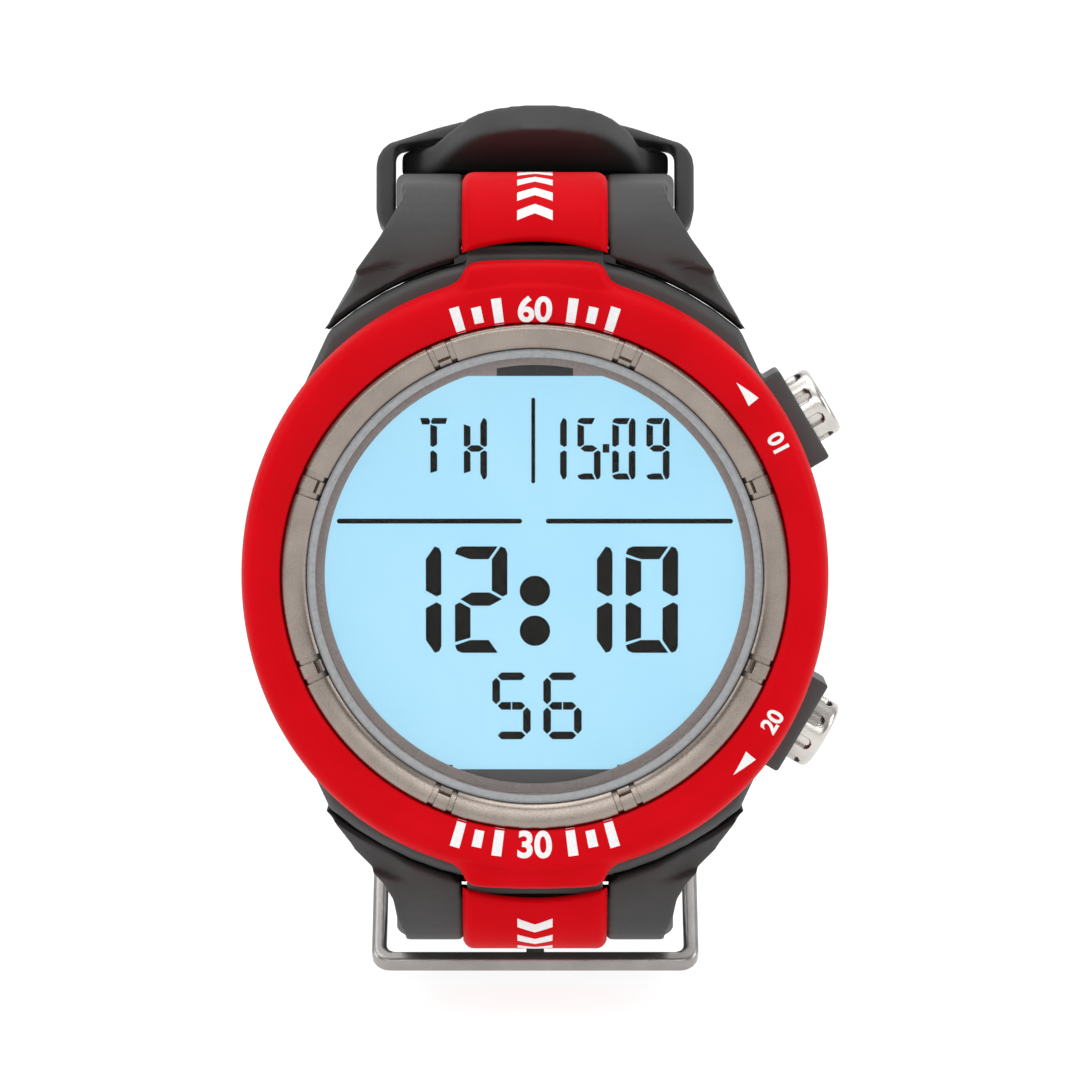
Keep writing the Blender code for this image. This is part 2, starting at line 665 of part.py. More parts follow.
def make_case_back(looks):
    steel = looks["steel"]
    profile = [(0, BACK_FRONT), (BACK_R, BACK_FRONT), (BACK_R, 13.2), (19.8, BACK_OUTER), (0, BACK_OUTER)]
    back = turned("case_back", profile, steel, steps=48)
    well = rod("battery_well", WELL_OUT_R, 9.6, BACK_FRONT + 0.3, steel, at=(0, 0, BATTERY_Z), steps=40)
    join(back, well)
    space = [
        (0, 9), (WELL_IN_R, 9), (WELL_IN_R, 12.95), (COVER_R + 0.1, 12.95), (COVER_R + 0.1, 15), (0, 15),
    ]
    cut(back, turned("battery_space", space, steel, at=(0, 0, BATTERY_Z), steps=40))
    port = [(0, 12), (1.6, 12), (1.6, 13.1), (2.2, 13.1), (2.2, 15), (0, 15)]
    cut(back, turned("sensor_port", port, steel, at=(0, 0, SENSOR_Z), steps=24))
    for k, (x, z) in enumerate(screw_places()):
        hole = [(0, 12), (0.65, 12), (0.65, 12.95), (1.15, 13.0), (1.15, 15), (0, 15)]
        cut(back, turned(f"screw_hole_{k}", hole, steel, at=(x, 0, z), steps=16))
        make_screw(f"case_back_screw_{k + 1}", x, z, looks)
    gasket = [(18.7, 12.25), (20.1, 12.25), (20.1, 12.6), (18.7, 12.6)]
    turned("case_back_gasket", gasket, looks["rubber"], steps=40)
    cap = rod("sensor_cap", 2.1, 13.15, 13.6, steel, at=(0, 0, SENSOR_Z), steps=24)
    for k in range(5):
        angle = FULL_TURN * (k + 0.3) / 5
        place = (1.0 * math.cos(angle), 0, SENSOR_Z + 1.0 * math.sin(angle))
        cut(cap, rod(f"sensor_cap_hole_{k}", 0.3, 12.9, 13.9, steel, at=place, steps=10))


def make_screw(name, x, z, looks):
    profile = [(0, 10.0), (0.42, 10.0), (0.42, 13.08), (1.0, 13.08), (1.0, 13.45), (0, 13.45)]
    screw = turned(name, profile, looks["steel"], at=(x, 0, z), steps=16)
    for part, half in (("slot", (0.75, 0.14)), ("cross", (0.14, 0.75))):
        low = (x - half[0], 13.25, z - half[1])
        high = (x + half[0], 14, z + half[1])
        cut(screw, box(f"{name}_{part}", low, high, looks["steel"]))


def make_battery(looks):
    at = (0, 0, BATTERY_Z)
    profile = [
        (0, BATTERY_FRONT), (10.6, BATTERY_FRONT), (10.6, 9.6), (BATTERY_R, 9.75),
        (BATTERY_R, BATTERY_BACK),
        (0, BATTERY_BACK),
    ]
    turned("battery", profile, looks["steel"], at, steps=36)
    clip = [
        *arc((0, 0), 12.7, 70, 110, 7),
        *arc((0, 0), 12.45, 110, 70, 7),
    ]
    prism("battery_clip", [(x, z + BATTERY_Z) for x, z in clip], 9.0, 12.1, looks["brass"])
    leaf = [(-4.0, -0.9), (4.0, -0.9), (4.0, 0.9), (-4.0, 0.9)]
    prism("battery_spring", [(x, z + BATTERY_Z) for x, z in leaf], 9.0, 9.25, looks["brass"])
    cover = [
        (0, 12.4), (12.75, 12.4), (12.75, 12.5), (12.3, 12.5), (12.3, 12.85), (12.75, 12.85),
        (12.75, 13.05),
        (COVER_R, 13.05), (COVER_R, 13.7), (13.1, COVER_OUTER), (0, COVER_OUTER),
    ]
    lid = turned("battery_cover", cover, looks["case"], at, steps=40)
    slot = [(-6.5, -0.8), (6.5, -0.8), (6.5, 0.8), (-6.5, 0.8)]
    cut(lid, prism("coin_slot", [(x, z + BATTERY_Z) for x, z in slot], 13.4, 15, looks["case"]))
    ring = arc((12.57, 12.675), 0.14, 0, 300, 6)
    turned("battery_cover_o_ring", ring, looks["rubber"], at, steps=32)


# ---------------------------------------------------------------- strap

def strap_head(name, sign, strap):
    """The two wings that clasp the case's shoulder, and the bridge over the lug between them."""
    pin = (PIN_DEPTH, PIN_Z)
    top = PIN_Z + WING_R[sign]
    side = [(4.9, 17.6), (4.75, 21.0), (PIN_DEPTH - WING_R[sign] + 0.1, 24.0)]
    side += arc(pin, WING_R[sign], 180, 92, 9)
    side += [(13.0, top + 0.1), (16.5, top + 0.2), (16.5, top - 2.8), (13.4, top - 3.0)]
    side += [(12.8, 25.0), (12.5, 17.6)]
    wings = prism(name + "_wings", [(y, sign * z) for y, z in side], -18, 18, strap, along="X")
    edge = UPPER_WING if sign > 0 else LOWER_WING
    front = edge + [(-x, z) for x, z in reversed(edge)]
    mask = prism(name + "_wing_mask", [(x, sign * z) for x, z in front], 2, 18, strap)
    combine(wings, mask, "INTERSECT")
    clearance = rod(name + "_case_clearance", SHOULDER_R + 0.6, 0, 13.6, strap, steps=64)
    low, high = sorted((20 * sign, 29.4 * sign))
    middle = box(name + "_middle", (-TAB_HALF, 0, low), (TAB_HALF, 13.6, high), strap)
    cut(wings, clearance, middle)
    shell = arc(pin, BRIDGE_R[sign], 172, 60, 9) + arc(pin, LUG_CLEAR_R + 0.01, 60, 172, 9)
    half = TAB_HALF + 0.2
    bridge = prism(name + "_bridge", [(y, sign * z) for y, z in shell], -half, half, strap, along="X")
    return wings, bridge


def finish_head(strap_half, name, sign, strap):
    """Cuts the lug's clearance, the pin's bore and the inlay's seat out of a strap half."""
    at = (0, PIN_DEPTH, sign * PIN_Z)
    lug_space = rod(name + "_lug_space", LUG_CLEAR_R, -TAB_HALF, TAB_HALF, strap, at, (1, 0, 0), steps=48)
    bore = rod(name + "_pin_bore", PIN_R + 0.1, -9.6, 9.6, strap, at, (1, 0, 0), steps=20)
    seat = inlay_outline(sign, INLAY_R[sign] + 2.0, INLAY_R[sign] - INLAY_THICK - 0.1, 19.6)
    pocket = prism(name + "_inlay_seat", seat, -TAB_HALF, TAB_HALF, strap, along="X")
    cut(strap_half, lug_space, bore, pocket)


def inlay_outline(sign, outer_r, inner_r, end):
    """The inlay from the side: an arc about the lug pin, then a straight run to its end."""
    pin = (PIN_DEPTH, PIN_Z)
    drop = (end - PIN_DEPTH) * 0.02
    outline = arc(pin, outer_r, 174, 90, 11) + [(end, PIN_Z + outer_r - drop)]
    outline += [(end, PIN_Z + inner_r - drop)] + arc(pin, inner_r, 90, 174, 11)
    return [(y, sign * z) for y, z in outline]


def make_inlay(name, sign, looks):
    outline = inlay_outline(sign, INLAY_R[sign], INLAY_R[sign] - INLAY_THICK, 19.2)
    inlay = prism(name + "_strap_inlay", outline, -INLAY_HALF, INLAY_HALF, looks["red"], along="X")
    move_origin(inlay, (0, PIN_DEPTH, sign * PIN_Z))
    soften(inlay, 0.25, segments=1)


def make_upper_strap(looks):
    strap = looks["strap"]
    path = upper_centreline()
    last = path[-1] - path[-2]
    path.append(path[-1] + last.normalized() * 1.7)
    widths = taper(path, 10.6, BAND_HALF, 0.02, 0.10)
    thick = taper(path, BAND_THICK, 3.8, 0.93, 0.99)
    band = ribbon("upper_strap", path, widths, thick, strap)
    join(band, *strap_head("upper", 1, strap))
    finish_head(band, "upper", 1, strap)
    at = (0, BUCKLE_PIN.x, BUCKLE_PIN.y)
    cut(band, rod("buckle_pin_bore", BUCKLE_PIN_R + 0.15, -14, 14, strap, at, (1, 0, 0), steps=16))
    cut(band, rod("prong_space", 4.2, -1.4, 1.4, strap, at, (1, 0, 0), steps=24))
    move_origin(band, (0, PIN_DEPTH, PIN_Z))


def make_lower_strap(looks):
    strap = looks["strap"]
    path = lower_centreline()
    widths = taper(path, BAND_HALF, FREE_HALF, 0.45, 0.75)
    rounded = [min(half, tip_width((path[-1] - point).length)) for half, point in zip(widths, path)]
    rounded[0] = 10.6
    thick = taper(path, BAND_THICK, FREE_THICK, 0.03, 0.08)
    band = ribbon("lower_strap", path, rounded, thick, strap)
    join(band, *strap_head("lower", -1, strap))
    finish_head(band, "lower", -1, strap)
    cut(band, *strap_slots(path, strap))
    move_origin(band, (0, PIN_DEPTH, -PIN_Z))


def tip_width(left):
    """The widest the free end may be at a distance from its tip."""
    for (near, narrow), (far, wide) in zip(TIP_WIDTHS, TIP_WIDTHS[1:]):
        if left <= far:
            return narrow + (wide - narrow) * (left - near) / (far - near)
    return BAND_HALF


def strap_slots(path, strap):
    """The prong's slots. The first is where the strap crosses the buckle's frame."""
    slots = []
    fine = respaced(path, 0.1)
    directions = tangents(fine)
    first = next(k for k, point in enumerate(fine) if point.x > FIRST_SLOT_DEPTH)
    for number in range(SLOT_COUNT):
        index = first + round(number * SLOT_PITCH / 0.1)
        point = fine[index]
        run = directions[index]
        half = SLOT_LENGTH / 2 - SLOT_HALF
        outline = arc((half, 0), SLOT_HALF, -90, 90, 7) + arc((-half, 0), SLOT_HALF, 90, 270, 7)
        slot = prism(f"strap_slot_{number}", outline, -4, 4, strap, along="Z")
        normal = outward(point, run)
        along = Vector((0, run.x, run.y))
        up = Vector((0, normal.x, normal.y))
        turn = Matrix((along, up.cross(along), up)).transposed().to_4x4()
        slot.matrix_world = Matrix.Translation(Vector((0, point.x, point.y)) * MM) @ turn
        slots.append(slot)
    return slots


def make_lug_pins(looks):
    for name, sign in (("upper", 1), ("lower", -1)):
        at = (0, PIN_DEPTH, sign * PIN_Z)
        rod(name + "_lug_pin", PIN_R, -PIN_HALF, PIN_HALF, looks["steel"], at, (1, 0, 0), steps=20)


# ---------------------------------------------------------------- buckle and keeper

def frame_direction():
    angle = math.radians(FRAME_ANGLE)
    return Vector((math.cos(angle), math.sin(angle)))


def frame_matrix():
    """Local +X is +X, local +Y runs from the pin to the end bar, and local Z is normal to the frame."""
    run = frame_direction()
    along = Vector((0, run.x, run.y))
    across = Vector((1, 0, 0))
    turn = Matrix((across, along, across.cross(along))).transposed().to_4x4()
    return Matrix.Translation(Vector((0, BUCKLE_PIN.x, BUCKLE_PIN.y)) * MM) @ turn


def make_buckle(looks):
    steel = looks["steel"]
    end = FRAME_LENGTH + FRAME_BAR / 2
    inner = FRAME_HALF - FRAME_BAR
    corner = 1.5
    right = [(inner, -1.2), (FRAME_HALF, -1.2)]
    right += arc((FRAME_HALF - corner, end - corner), corner, 0, 90, 5)
    left = [(-x, y) for x, y in reversed(right)]
    outline = right + left
    outline += [(-inner, end - FRAME_BAR - 0.4), (-inner + 0.4, end - FRAME_BAR)]
    outline += [(inner - 0.4, end - FRAME_BAR), (inner, end - FRAME_BAR - 0.4)]
    half = FRAME_THICK / 2
    frame = prism("buckle_frame", outline, -half, half, steel, along="Z", matrix=frame_matrix())
    soften(frame, 0.25, segments=1)
    at = (0, BUCKLE_PIN.x, BUCKLE_PIN.y)
    cut(frame, rod("buckle_eyes", BUCKLE_PIN_R + 0.1, -15, 15, steel, at, (1, 0, 0), steps=16))
    reach = FRAME_HALF - 0.15
    rod("buckle_pin", BUCKLE_PIN_R, -reach, reach, steel, at, (1, 0, 0), steps=16)
    make_prong(looks)


def make_prong(looks):
    """The prong turns on the buckle pin and lies on the outer side of the frame's end bar."""
    run = frame_direction()
    normal = outward(BUCKLE_PIN, run)
    tip = run * (FRAME_LENGTH - 0.35) + normal * (FRAME_THICK / 2 + 0.5)
    along = tip.normalized()
    up = outward(BUCKLE_PIN, along)
    half = 0.5
    outline = [tip + up * half * 0.6, tip - up * half * 0.8 - along * 0.3]
    back = math.degrees(math.atan2(-along.y, -along.x))
    turn = 1 if along.cross(up) > 0 else -1
    outline += [Vector(p) for p in arc((0, 0), 1.25, back + turn * 60, back - turn * 60, 7)][::turn]
    outline = [(BUCKLE_PIN.x + p.x, BUCKLE_PIN.y + p.y) for p in sorted_outline(outline)]
    prong = prism("buckle_prong", outline, -1.0, 1.0, looks["steel"], along="X")
    at = (0, BUCKLE_PIN.x, BUCKLE_PIN.y)
    cut(prong, rod("prong_eye", BUCKLE_PIN_R + 0.12, -2, 2, looks["steel"], at, (1, 0, 0), steps=16))
    move_origin(prong, at)


def sorted_outline(points):
    """The points in order round their middle, which suits a convex outline."""
    middle = sum(points, Vector((0, 0))) / len(points)
    return sorted(points, key=lambda p: math.atan2((p - middle).y, (p - middle).x))


def make_keeper(looks):
    """A rounded rectangular loop round both strap layers, on the straight run behind the lug."""
    rise = math.tan(math.radians(RUN_ANGLE))
    middle = 29.6 + (KEEPER_DEPTH - 19.0) * rise
    low = -BAND_THICK / 2 - 0.25
    high = BAND_THICK / 2 + STRAP_GAP + FREE_THICK + 0.25
    half = KEEPER_IN_HALF + KEEPER_WALL
    outer = keeper_outline(half, low - KEEPER_WALL, high + KEEPER_WALL * 0.27, 2.2, KEEPER_CROWN)
    inner = keeper_outline(KEEPER_IN_HALF, low, high, 0.8, KEEPER_CROWN * 0.4)
    tilt = Matrix.Rotation(math.radians(RUN_ANGLE), 4, "X")
    place = Matrix.Translation(Vector((0, KEEPER_DEPTH, middle)) * MM) @ tilt
    half = KEEPER_WIDTH / 2
    keeper = prism("keeper", outer, -half, half, looks["strap"], matrix=place)
    soften(keeper, 0.3, segments=1)
    cut(keeper, prism("keeper_window", inner, -half - 1, half + 1, looks["strap"], matrix=place))


def keeper_outline(half, low, high, corner, crown):
    """A rounded rectangle whose upper side is a low arch, higher by the crown at its middle."""
    shoulder = half - corner
    right = arc((shoulder, low + corner), corner, -90, 0, 5)
    right += arc((shoulder, high - corner), corner, 0, 60, 4)
    right += [(shoulder * part, high + crown * (1 - part**2)) for part in (0.92, 0.75, 0.55, 0.3, 0.1)]
    return right + [(-x, z) for x, z in reversed(right)]


# ---------------------------------------------------------------- the whole instrument

def main():
    clear_scene()
    looks = make_looks()
    make_bezel_cover(looks)
    make_bezel_ring(looks)
    make_display(looks)
    make_board(looks)
    make_case_body(looks)
    make_case_back(looks)
    make_battery(looks)
    make_button("sel", 1, looks)
    make_button("esc", -1, looks)
    make_upper_strap(looks)
    make_lower_strap(looks)
    make_inlay("upper", 1, looks)
    make_inlay("lower", -1, looks)
    make_lug_pins(looks)
    make_buckle(looks)
    make_keeper(looks)


main()
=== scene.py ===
"""Looks of the wrist dive computer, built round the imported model.

Lengths are in millimetres until a mesh or an object is made, and depth means distance along +Y.
"""

import math

import bmesh
import bpy
from mathutils import Matrix, Vector
from mathutils.geometry import interpolate_bezier


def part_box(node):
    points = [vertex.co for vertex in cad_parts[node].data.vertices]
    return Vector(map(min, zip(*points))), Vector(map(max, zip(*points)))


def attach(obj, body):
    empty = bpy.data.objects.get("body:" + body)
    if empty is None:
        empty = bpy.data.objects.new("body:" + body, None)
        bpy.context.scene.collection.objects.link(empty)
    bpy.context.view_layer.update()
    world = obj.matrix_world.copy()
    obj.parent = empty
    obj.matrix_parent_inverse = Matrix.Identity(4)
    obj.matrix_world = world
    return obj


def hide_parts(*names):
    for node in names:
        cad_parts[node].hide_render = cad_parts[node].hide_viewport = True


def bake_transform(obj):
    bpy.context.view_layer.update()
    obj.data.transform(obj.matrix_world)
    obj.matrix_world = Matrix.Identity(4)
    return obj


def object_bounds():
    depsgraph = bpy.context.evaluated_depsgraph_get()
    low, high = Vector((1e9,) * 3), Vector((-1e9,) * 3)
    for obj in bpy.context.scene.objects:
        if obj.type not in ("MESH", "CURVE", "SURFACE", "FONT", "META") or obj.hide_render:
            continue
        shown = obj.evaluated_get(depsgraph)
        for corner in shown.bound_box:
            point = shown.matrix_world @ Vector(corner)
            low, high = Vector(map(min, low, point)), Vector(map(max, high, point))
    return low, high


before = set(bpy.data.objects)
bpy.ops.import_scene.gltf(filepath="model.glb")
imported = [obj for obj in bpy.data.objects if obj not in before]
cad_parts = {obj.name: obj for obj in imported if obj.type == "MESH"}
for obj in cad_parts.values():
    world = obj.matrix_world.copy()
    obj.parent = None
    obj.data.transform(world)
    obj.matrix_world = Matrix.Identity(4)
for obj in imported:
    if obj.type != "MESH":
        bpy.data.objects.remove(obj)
cad_box = [list(corner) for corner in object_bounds()]

MM = 0.001
FULL_TURN = 2 * math.pi
LENS_STEPS = 160


def extent(node):
    """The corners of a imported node's box, in millimetres."""
    low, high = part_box(node)
    return Vector(low) / MM, Vector(high) / MM


# Driving sizes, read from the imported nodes.
BEZEL_HIGH = extent("bezel_cover")[1]
BEZEL_R = BEZEL_HIGH.x
SKIRT_BACK = BEZEL_HIGH.y
LENS_R = extent("lens")[1].x
LENS_BACK = extent("lens")[1].y
LCD_FRONT = extent("lcd_panel")[0].y
LCD_R = extent("lcd_panel")[1].x
UPPER_PIN_LOW, UPPER_PIN_HIGH = extent("upper_lug_pin")
PIN_DEPTH = (UPPER_PIN_LOW.y + UPPER_PIN_HIGH.y) / 2
PIN_Z = (UPPER_PIN_LOW.z + UPPER_PIN_HIGH.z) / 2


# -------- small mesh tools

def show(thing):
    bpy.context.scene.collection.objects.link(thing)


def as_seen(thing):
    """A new mesh of an object with its modifiers or its letters worked out."""
    bpy.context.view_layer.update()
    graph = bpy.context.evaluated_depsgraph_get()
    return bpy.data.meshes.new_from_object(thing.evaluated_get(graph))


def finish_mesh(name, bm, finish, body, sharp=35):
    """Turns a bmesh in millimetres into a piece, smooth but for edges over the sharp angle."""
    bmesh.ops.remove_doubles(bm, verts=bm.verts, dist=1e-5)
    bmesh.ops.recalc_face_normals(bm, faces=bm.faces)
    bmesh.ops.scale(bm, vec=(MM, MM, MM), verts=bm.verts)
    mesh = bpy.data.meshes.new(name)
    bm.to_mesh(mesh)
    bm.free()
    mesh.shade_smooth()
    mesh.set_sharp_from_angle(angle=math.radians(sharp))
    mesh.materials.append(finish)
    piece = bpy.data.objects.new(name, mesh)
    show(piece)
    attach(piece, body)
    return piece


def curve_through(points, per_span):
    """Points on a smooth curve through the given 2D points."""
    made = []
    knots = [Vector((*p, 0)) for p in points]
    slopes = [(b - a) / 2 for a, b in zip(knots[:1] + knots[:-1], knots[1:] + knots[-1:])]
    for k in range(len(knots) - 1):
        start, end = knots[k], knots[k + 1]
        span = interpolate_bezier(start, start + slopes[k] / 3, end - slopes[k + 1] / 3, end, per_span + 1)
        made += [p.to_2d() for p in span[:-1]]
    made.append(knots[-1].to_2d())
    return made


def bridge_rows(bm, rows, closed_rows=True, closed_loop=False):
    """Faces between rows of vertices, all with the same number of them."""
    count = len(rows[0])
    pairs = list(zip(rows, rows[1:]))
    if closed_loop:
        pairs.append((rows[-1], rows[0]))
    for row, after in pairs:
        for k in range(count if closed_rows else count - 1):
            following = (k + 1) % count
            bm.faces.new([row[k], row[following], after[following], after[k]])


def turned_rows(bm, profile, place, steps, radius_at=None):
    """Rows of vertices from (radius, distance) points turned about place's Z axis."""
    rows = []
    for radius, along in profile:
        if radius == 0:
            rows.append([bm.verts.new(place @ Vector((0, 0, along)))] * steps)
            continue
        row = []
        for k in range(steps):
            angle = FULL_TURN * k / steps
            reach = radius_at(radius, along, angle) if radius_at else radius
            point = Vector((reach * math.cos(angle), reach * math.sin(angle), along))
            row.append(bm.verts.new(place @ point))
        rows.append(row)
    return rows


def skin_rows(bm, rows):
    """Faces between turned rows, as triangles where a row is one vertex on the axis."""
    for row, after in zip(rows, rows[1:]):
        if row[0] is row[1] and after[0] is after[1]:
            continue
        for k in range(len(row)):
            following = (k + 1) % len(row)
            corners = [row[k], row[following], after[following], after[k]]
            bm.faces.new(list(dict.fromkeys(corners)))


def lathe(name, profile, finish):
    """A closed outline of (radius, depth) turned about the display's axis."""
    bm = bmesh.new()
    rows = turned_rows(bm, profile, turn_to((0, 1, 0)), LENS_STEPS)
    skin_rows(bm, rows + rows[:1])
    return finish_mesh(name, bm, finish, "case")


def turn_to(axis):
    return Vector(axis).to_track_quat("Z", "Y").to_matrix().to_4x4()


def smoothstep(value, start, end):
    part = min(1.0, max(0.0, (value - start) / (end - start)))
    return part * part * (3 - 2 * part)


# -------- materials

# The sockets of a Mix node that it uses for colours.
MIX_FACTOR, MIX_LOW, MIX_HIGH, MIX_RESULT = 0, 6, 7, 2


class Finish:
    """A Principled material with its node tree at hand."""

    def __init__(self, name, colour, roughness, metallic=0.0, **sockets):
        self.material = bpy.data.materials.new(name)
        self.material.use_nodes = True
        self.nodes = self.material.node_tree.nodes
        self.links = self.material.node_tree.links
        self.shader = self.nodes["Principled BSDF"]
        self.shader.inputs["Base Color"].default_value = (*colour, 1.0)
        self.shader.inputs["Roughness"].default_value = roughness
        self.shader.inputs["Metallic"].default_value = metallic
        for socket, value in sockets.items():
            self.shader.inputs[socket.replace("_", " ")].default_value = value
        self.place = self.nodes.new("ShaderNodeTexCoord").outputs["Object"]

    def noise(self, size_mm, detail=3.0, stretch=(1, 1, 1)):
        """A noise whose features are about size_mm across, stretched along each axis."""
        mapping = self.nodes.new("ShaderNodeMapping")
        mapping.inputs["Scale"].default_value = [1 / s for s in stretch]
        self.links.new(self.place, mapping.inputs["Vector"])
        texture = self.nodes.new("ShaderNodeTexNoise")
        texture.inputs["Scale"].default_value = 1 / (size_mm * MM)
        texture.inputs["Detail"].default_value = detail
        texture.inputs["Roughness"].default_value = 0.55
        self.links.new(mapping.outputs["Vector"], texture.inputs["Vector"])
        return texture.outputs["Fac"]

    def ramp(self, value, low, high):
        """Spreads a noise's middle range from low to high."""
        spread = self.nodes.new("ShaderNodeMapRange")
        spread.inputs["From Min"].default_value = 0.35
        spread.inputs["From Max"].default_value = 0.65
        spread.inputs["To Min"].default_value = low
        spread.inputs["To Max"].default_value = high
        self.links.new(value, spread.inputs["Value"])
        return spread.outputs["Result"]

    def mixed(self, factor, low, high):
        mix = self.nodes.new("ShaderNodeMix")
        mix.data_type = "RGBA"
        self.links.new(factor, mix.inputs[MIX_FACTOR])
        mix.inputs[MIX_LOW].default_value = (*low, 1.0)
        mix.inputs[MIX_HIGH].default_value = (*high, 1.0)
        return mix.outputs[MIX_RESULT]

    def vary_colour(self, value, low, high):
        colour = self.mixed(self.ramp(value, 0, 1), low, high)
        self.links.new(colour, self.shader.inputs["Base Color"])

    def vary_roughness(self, value, low, high):
        self.links.new(self.ramp(value, low, high), self.shader.inputs["Roughness"])

    def bump(self, value, height_mm):
        bump = self.nodes.new("ShaderNodeBump")
        bump.inputs["Distance"].default_value = height_mm * MM
        self.links.new(value, bump.inputs["Height"])
        self.links.new(bump.outputs["Normal"], self.shader.inputs["Normal"])


def scaled(colour, factor):
    return tuple(min(1.0, channel * factor) for channel in colour)


def satin_red():
    red = Finish("satin_red", (0.57, 0.0012, 0.005), 0.48, Specular_IOR_Level=0.04)
    cloud = red.noise(6.0, 2.0)
    red.vary_colour(cloud, (0.555, 0.0012, 0.005), (0.59, 0.0016, 0.007))
    grain = red.noise(0.12, 4.0)
    red.vary_roughness(grain, 0.44, 0.53)
    red.bump(grain, 0.006)
    return red.material


def moulded_black(name, tone, roughness, grain_mm):
    """A near-black polymer or elastomer with a moulded grain."""
    black = Finish(name, (tone, tone, tone * 1.01), roughness, Specular_IOR_Level=0.4)
    cloud = black.noise(4.0, 3.0)
    black.vary_colour(cloud, (tone * 0.93,) * 3, (tone * 1.08, tone * 1.07, tone * 1.06))
    grain = black.noise(grain_mm, 4.0)
    black.vary_roughness(grain, roughness - 0.06, roughness + 0.06)
    black.bump(grain, grain_mm * 0.06)
    return black.material


def brushed(name, colour, roughness, stretch, scratch_mm=0.05):
    """A metal with fine scratches, stretched along each axis."""
    metal = Finish(name, colour, roughness, 1.0)
    lines = metal.noise(scratch_mm, 3.0, stretch)
    metal.vary_roughness(lines, roughness - 0.05, roughness + 0.07)
    cloud = metal.noise(2.5, 3.0)
    metal.vary_colour(cloud, scaled(colour, 0.92), scaled(colour, 1.06))
    metal.bump(lines, 0.0015)
    return metal.material


def clear_glass():
    glass = Finish("coated_glass", (1.0, 1.0, 1.0), 0.01, Transmission_Weight=1.0, IOR=1.1)
    smear = glass.noise(5.0, 2.0)
    glass.links.new(glass.ramp(smear, 0.0, 0.02), glass.shader.inputs["Roughness"])
    return glass.material


def lit_panel():
    panel = Finish("backlit_display", (0.12, 0.21, 0.26), 0.5, Specular_IOR_Level=0.2)
    cloud = panel.noise(9.0, 1.0)
    glow = panel.mixed(panel.ramp(cloud, 0, 1), (0.375, 0.72, 0.93), (0.405, 0.745, 0.95))
    panel.links.new(glow, panel.shader.inputs["Emission Color"])
    panel.shader.inputs["Emission Strength"].default_value = 0.80
    return panel.material


def white_print():
    print_ink = Finish("white_print", (0.80, 0.79, 0.79), 0.5)
    mottle = print_ink.noise(0.2, 3.0)
    print_ink.vary_colour(mottle, (0.76, 0.75, 0.75), (0.84, 0.83, 0.83))
    return print_ink.material


def plain(name, colour, roughness, metallic=0.0, grain_mm=0.3, **sockets):
    """A small part's finish: one colour with a fine grain."""
    finish = Finish(name, colour, roughness, metallic, **sockets)
    grain = finish.noise(grain_mm, 3.0)
    finish.vary_colour(grain, scaled(colour, 0.9), scaled(colour, 1.1))
    finish.vary_roughness(grain, max(0.05, roughness - 0.05), roughness + 0.05)
    finish.bump(grain, grain_mm * 0.02)
    return finish.material


def make_finishes():
    return {
        "red": satin_red(),
        "case": moulded_black("case_polymer", 0.052, 0.5, 0.10),
        "strap": moulded_black("strap_elastomer", 0.044, 0.6, 0.14),
        "ring": brushed("gunmetal", (0.31, 0.265, 0.232), 0.30, (1, 1, 1), 0.10),
        "steel": brushed("polished_steel", (0.72, 0.705, 0.68), 0.14, (1, 1, 1)),
        "cap": brushed("button_cap_steel", (0.60, 0.575, 0.54), 0.25, (1, 1, 1)),
        "buckle": brushed("buckle_steel", (0.36, 0.345, 0.335), 0.34, (20, 1, 1)),
        "back": brushed("back_steel", (0.55, 0.54, 0.52), 0.30, (12, 1, 1)),
        "glass": clear_glass(),
        "lcd": lit_panel(),
        "segment": plain("segment_black", (0.011, 0.011, 0.009), 0.5, Specular_IOR_Level=0.1),
        "gasket": plain("gasket_grey", (0.29, 0.30, 0.31), 0.35),
        "flange": plain("flange_brown", (0.30, 0.25, 0.235), 0.45),
        "mask": plain("mask_grey", (0.085, 0.083, 0.083), 0.6),
        "dark": plain("inner_black", (0.012, 0.012, 0.013), 0.5),
        "print": white_print(),
        "white": plain("diffuser_white", (0.8, 0.8, 0.78), 0.4),
        "zebra": plain("connector_amber", (0.62, 0.38, 0.18), 0.6),
        "board": plain("board_green", (0.015, 0.13, 0.05), 0.4),
        "brass": plain("brass", (0.72, 0.50, 0.22), 0.3, 1.0),
        "rubber": plain("seal_black", (0.03, 0.03, 0.03), 0.6),
    }


NODE_FINISHES = {
    "case": ["case_body", "battery_cover"],
    "back": ["case_back"],
    "steel": [
        "quartz_can", "pressure_sensor", "battery", "sensor_cap",
        "upper_lug_pin", "lower_lug_pin", "buckle_pin",
        "case_back_screw_1", "case_back_screw_2", "case_back_screw_3", "case_back_screw_4",
        "sel_spring", "esc_spring", "sel_retaining_clip", "esc_retaining_clip",
        "sel_button", "esc_button",
    ],
    "buckle": ["buckle_frame", "buckle_prong"],
    "strap": ["upper_strap", "lower_strap", "keeper"],
    "red": ["bezel_cover", "upper_strap_inlay", "lower_strap_inlay"],
    "ring": ["bezel_ring"],
    "glass": ["lens"],
    "lcd": ["lcd_panel"],
    "gasket": ["lens_gasket"],
    "flange": ["display_flange"],
    "dark": ["display_frame", "processor_chip", "sel_switch", "esc_switch"],
    "white": ["backlight_plate"],
    "zebra": ["zebra_strip_top", "zebra_strip_bottom"],
    "board": ["main_board"],
    "brass": ["piezo_buzzer", "battery_spring", "battery_clip", "sel_sleeve", "esc_sleeve"],
    "rubber": ["case_back_gasket", "battery_cover_o_ring", "sel_o_ring", "esc_o_ring"],
}


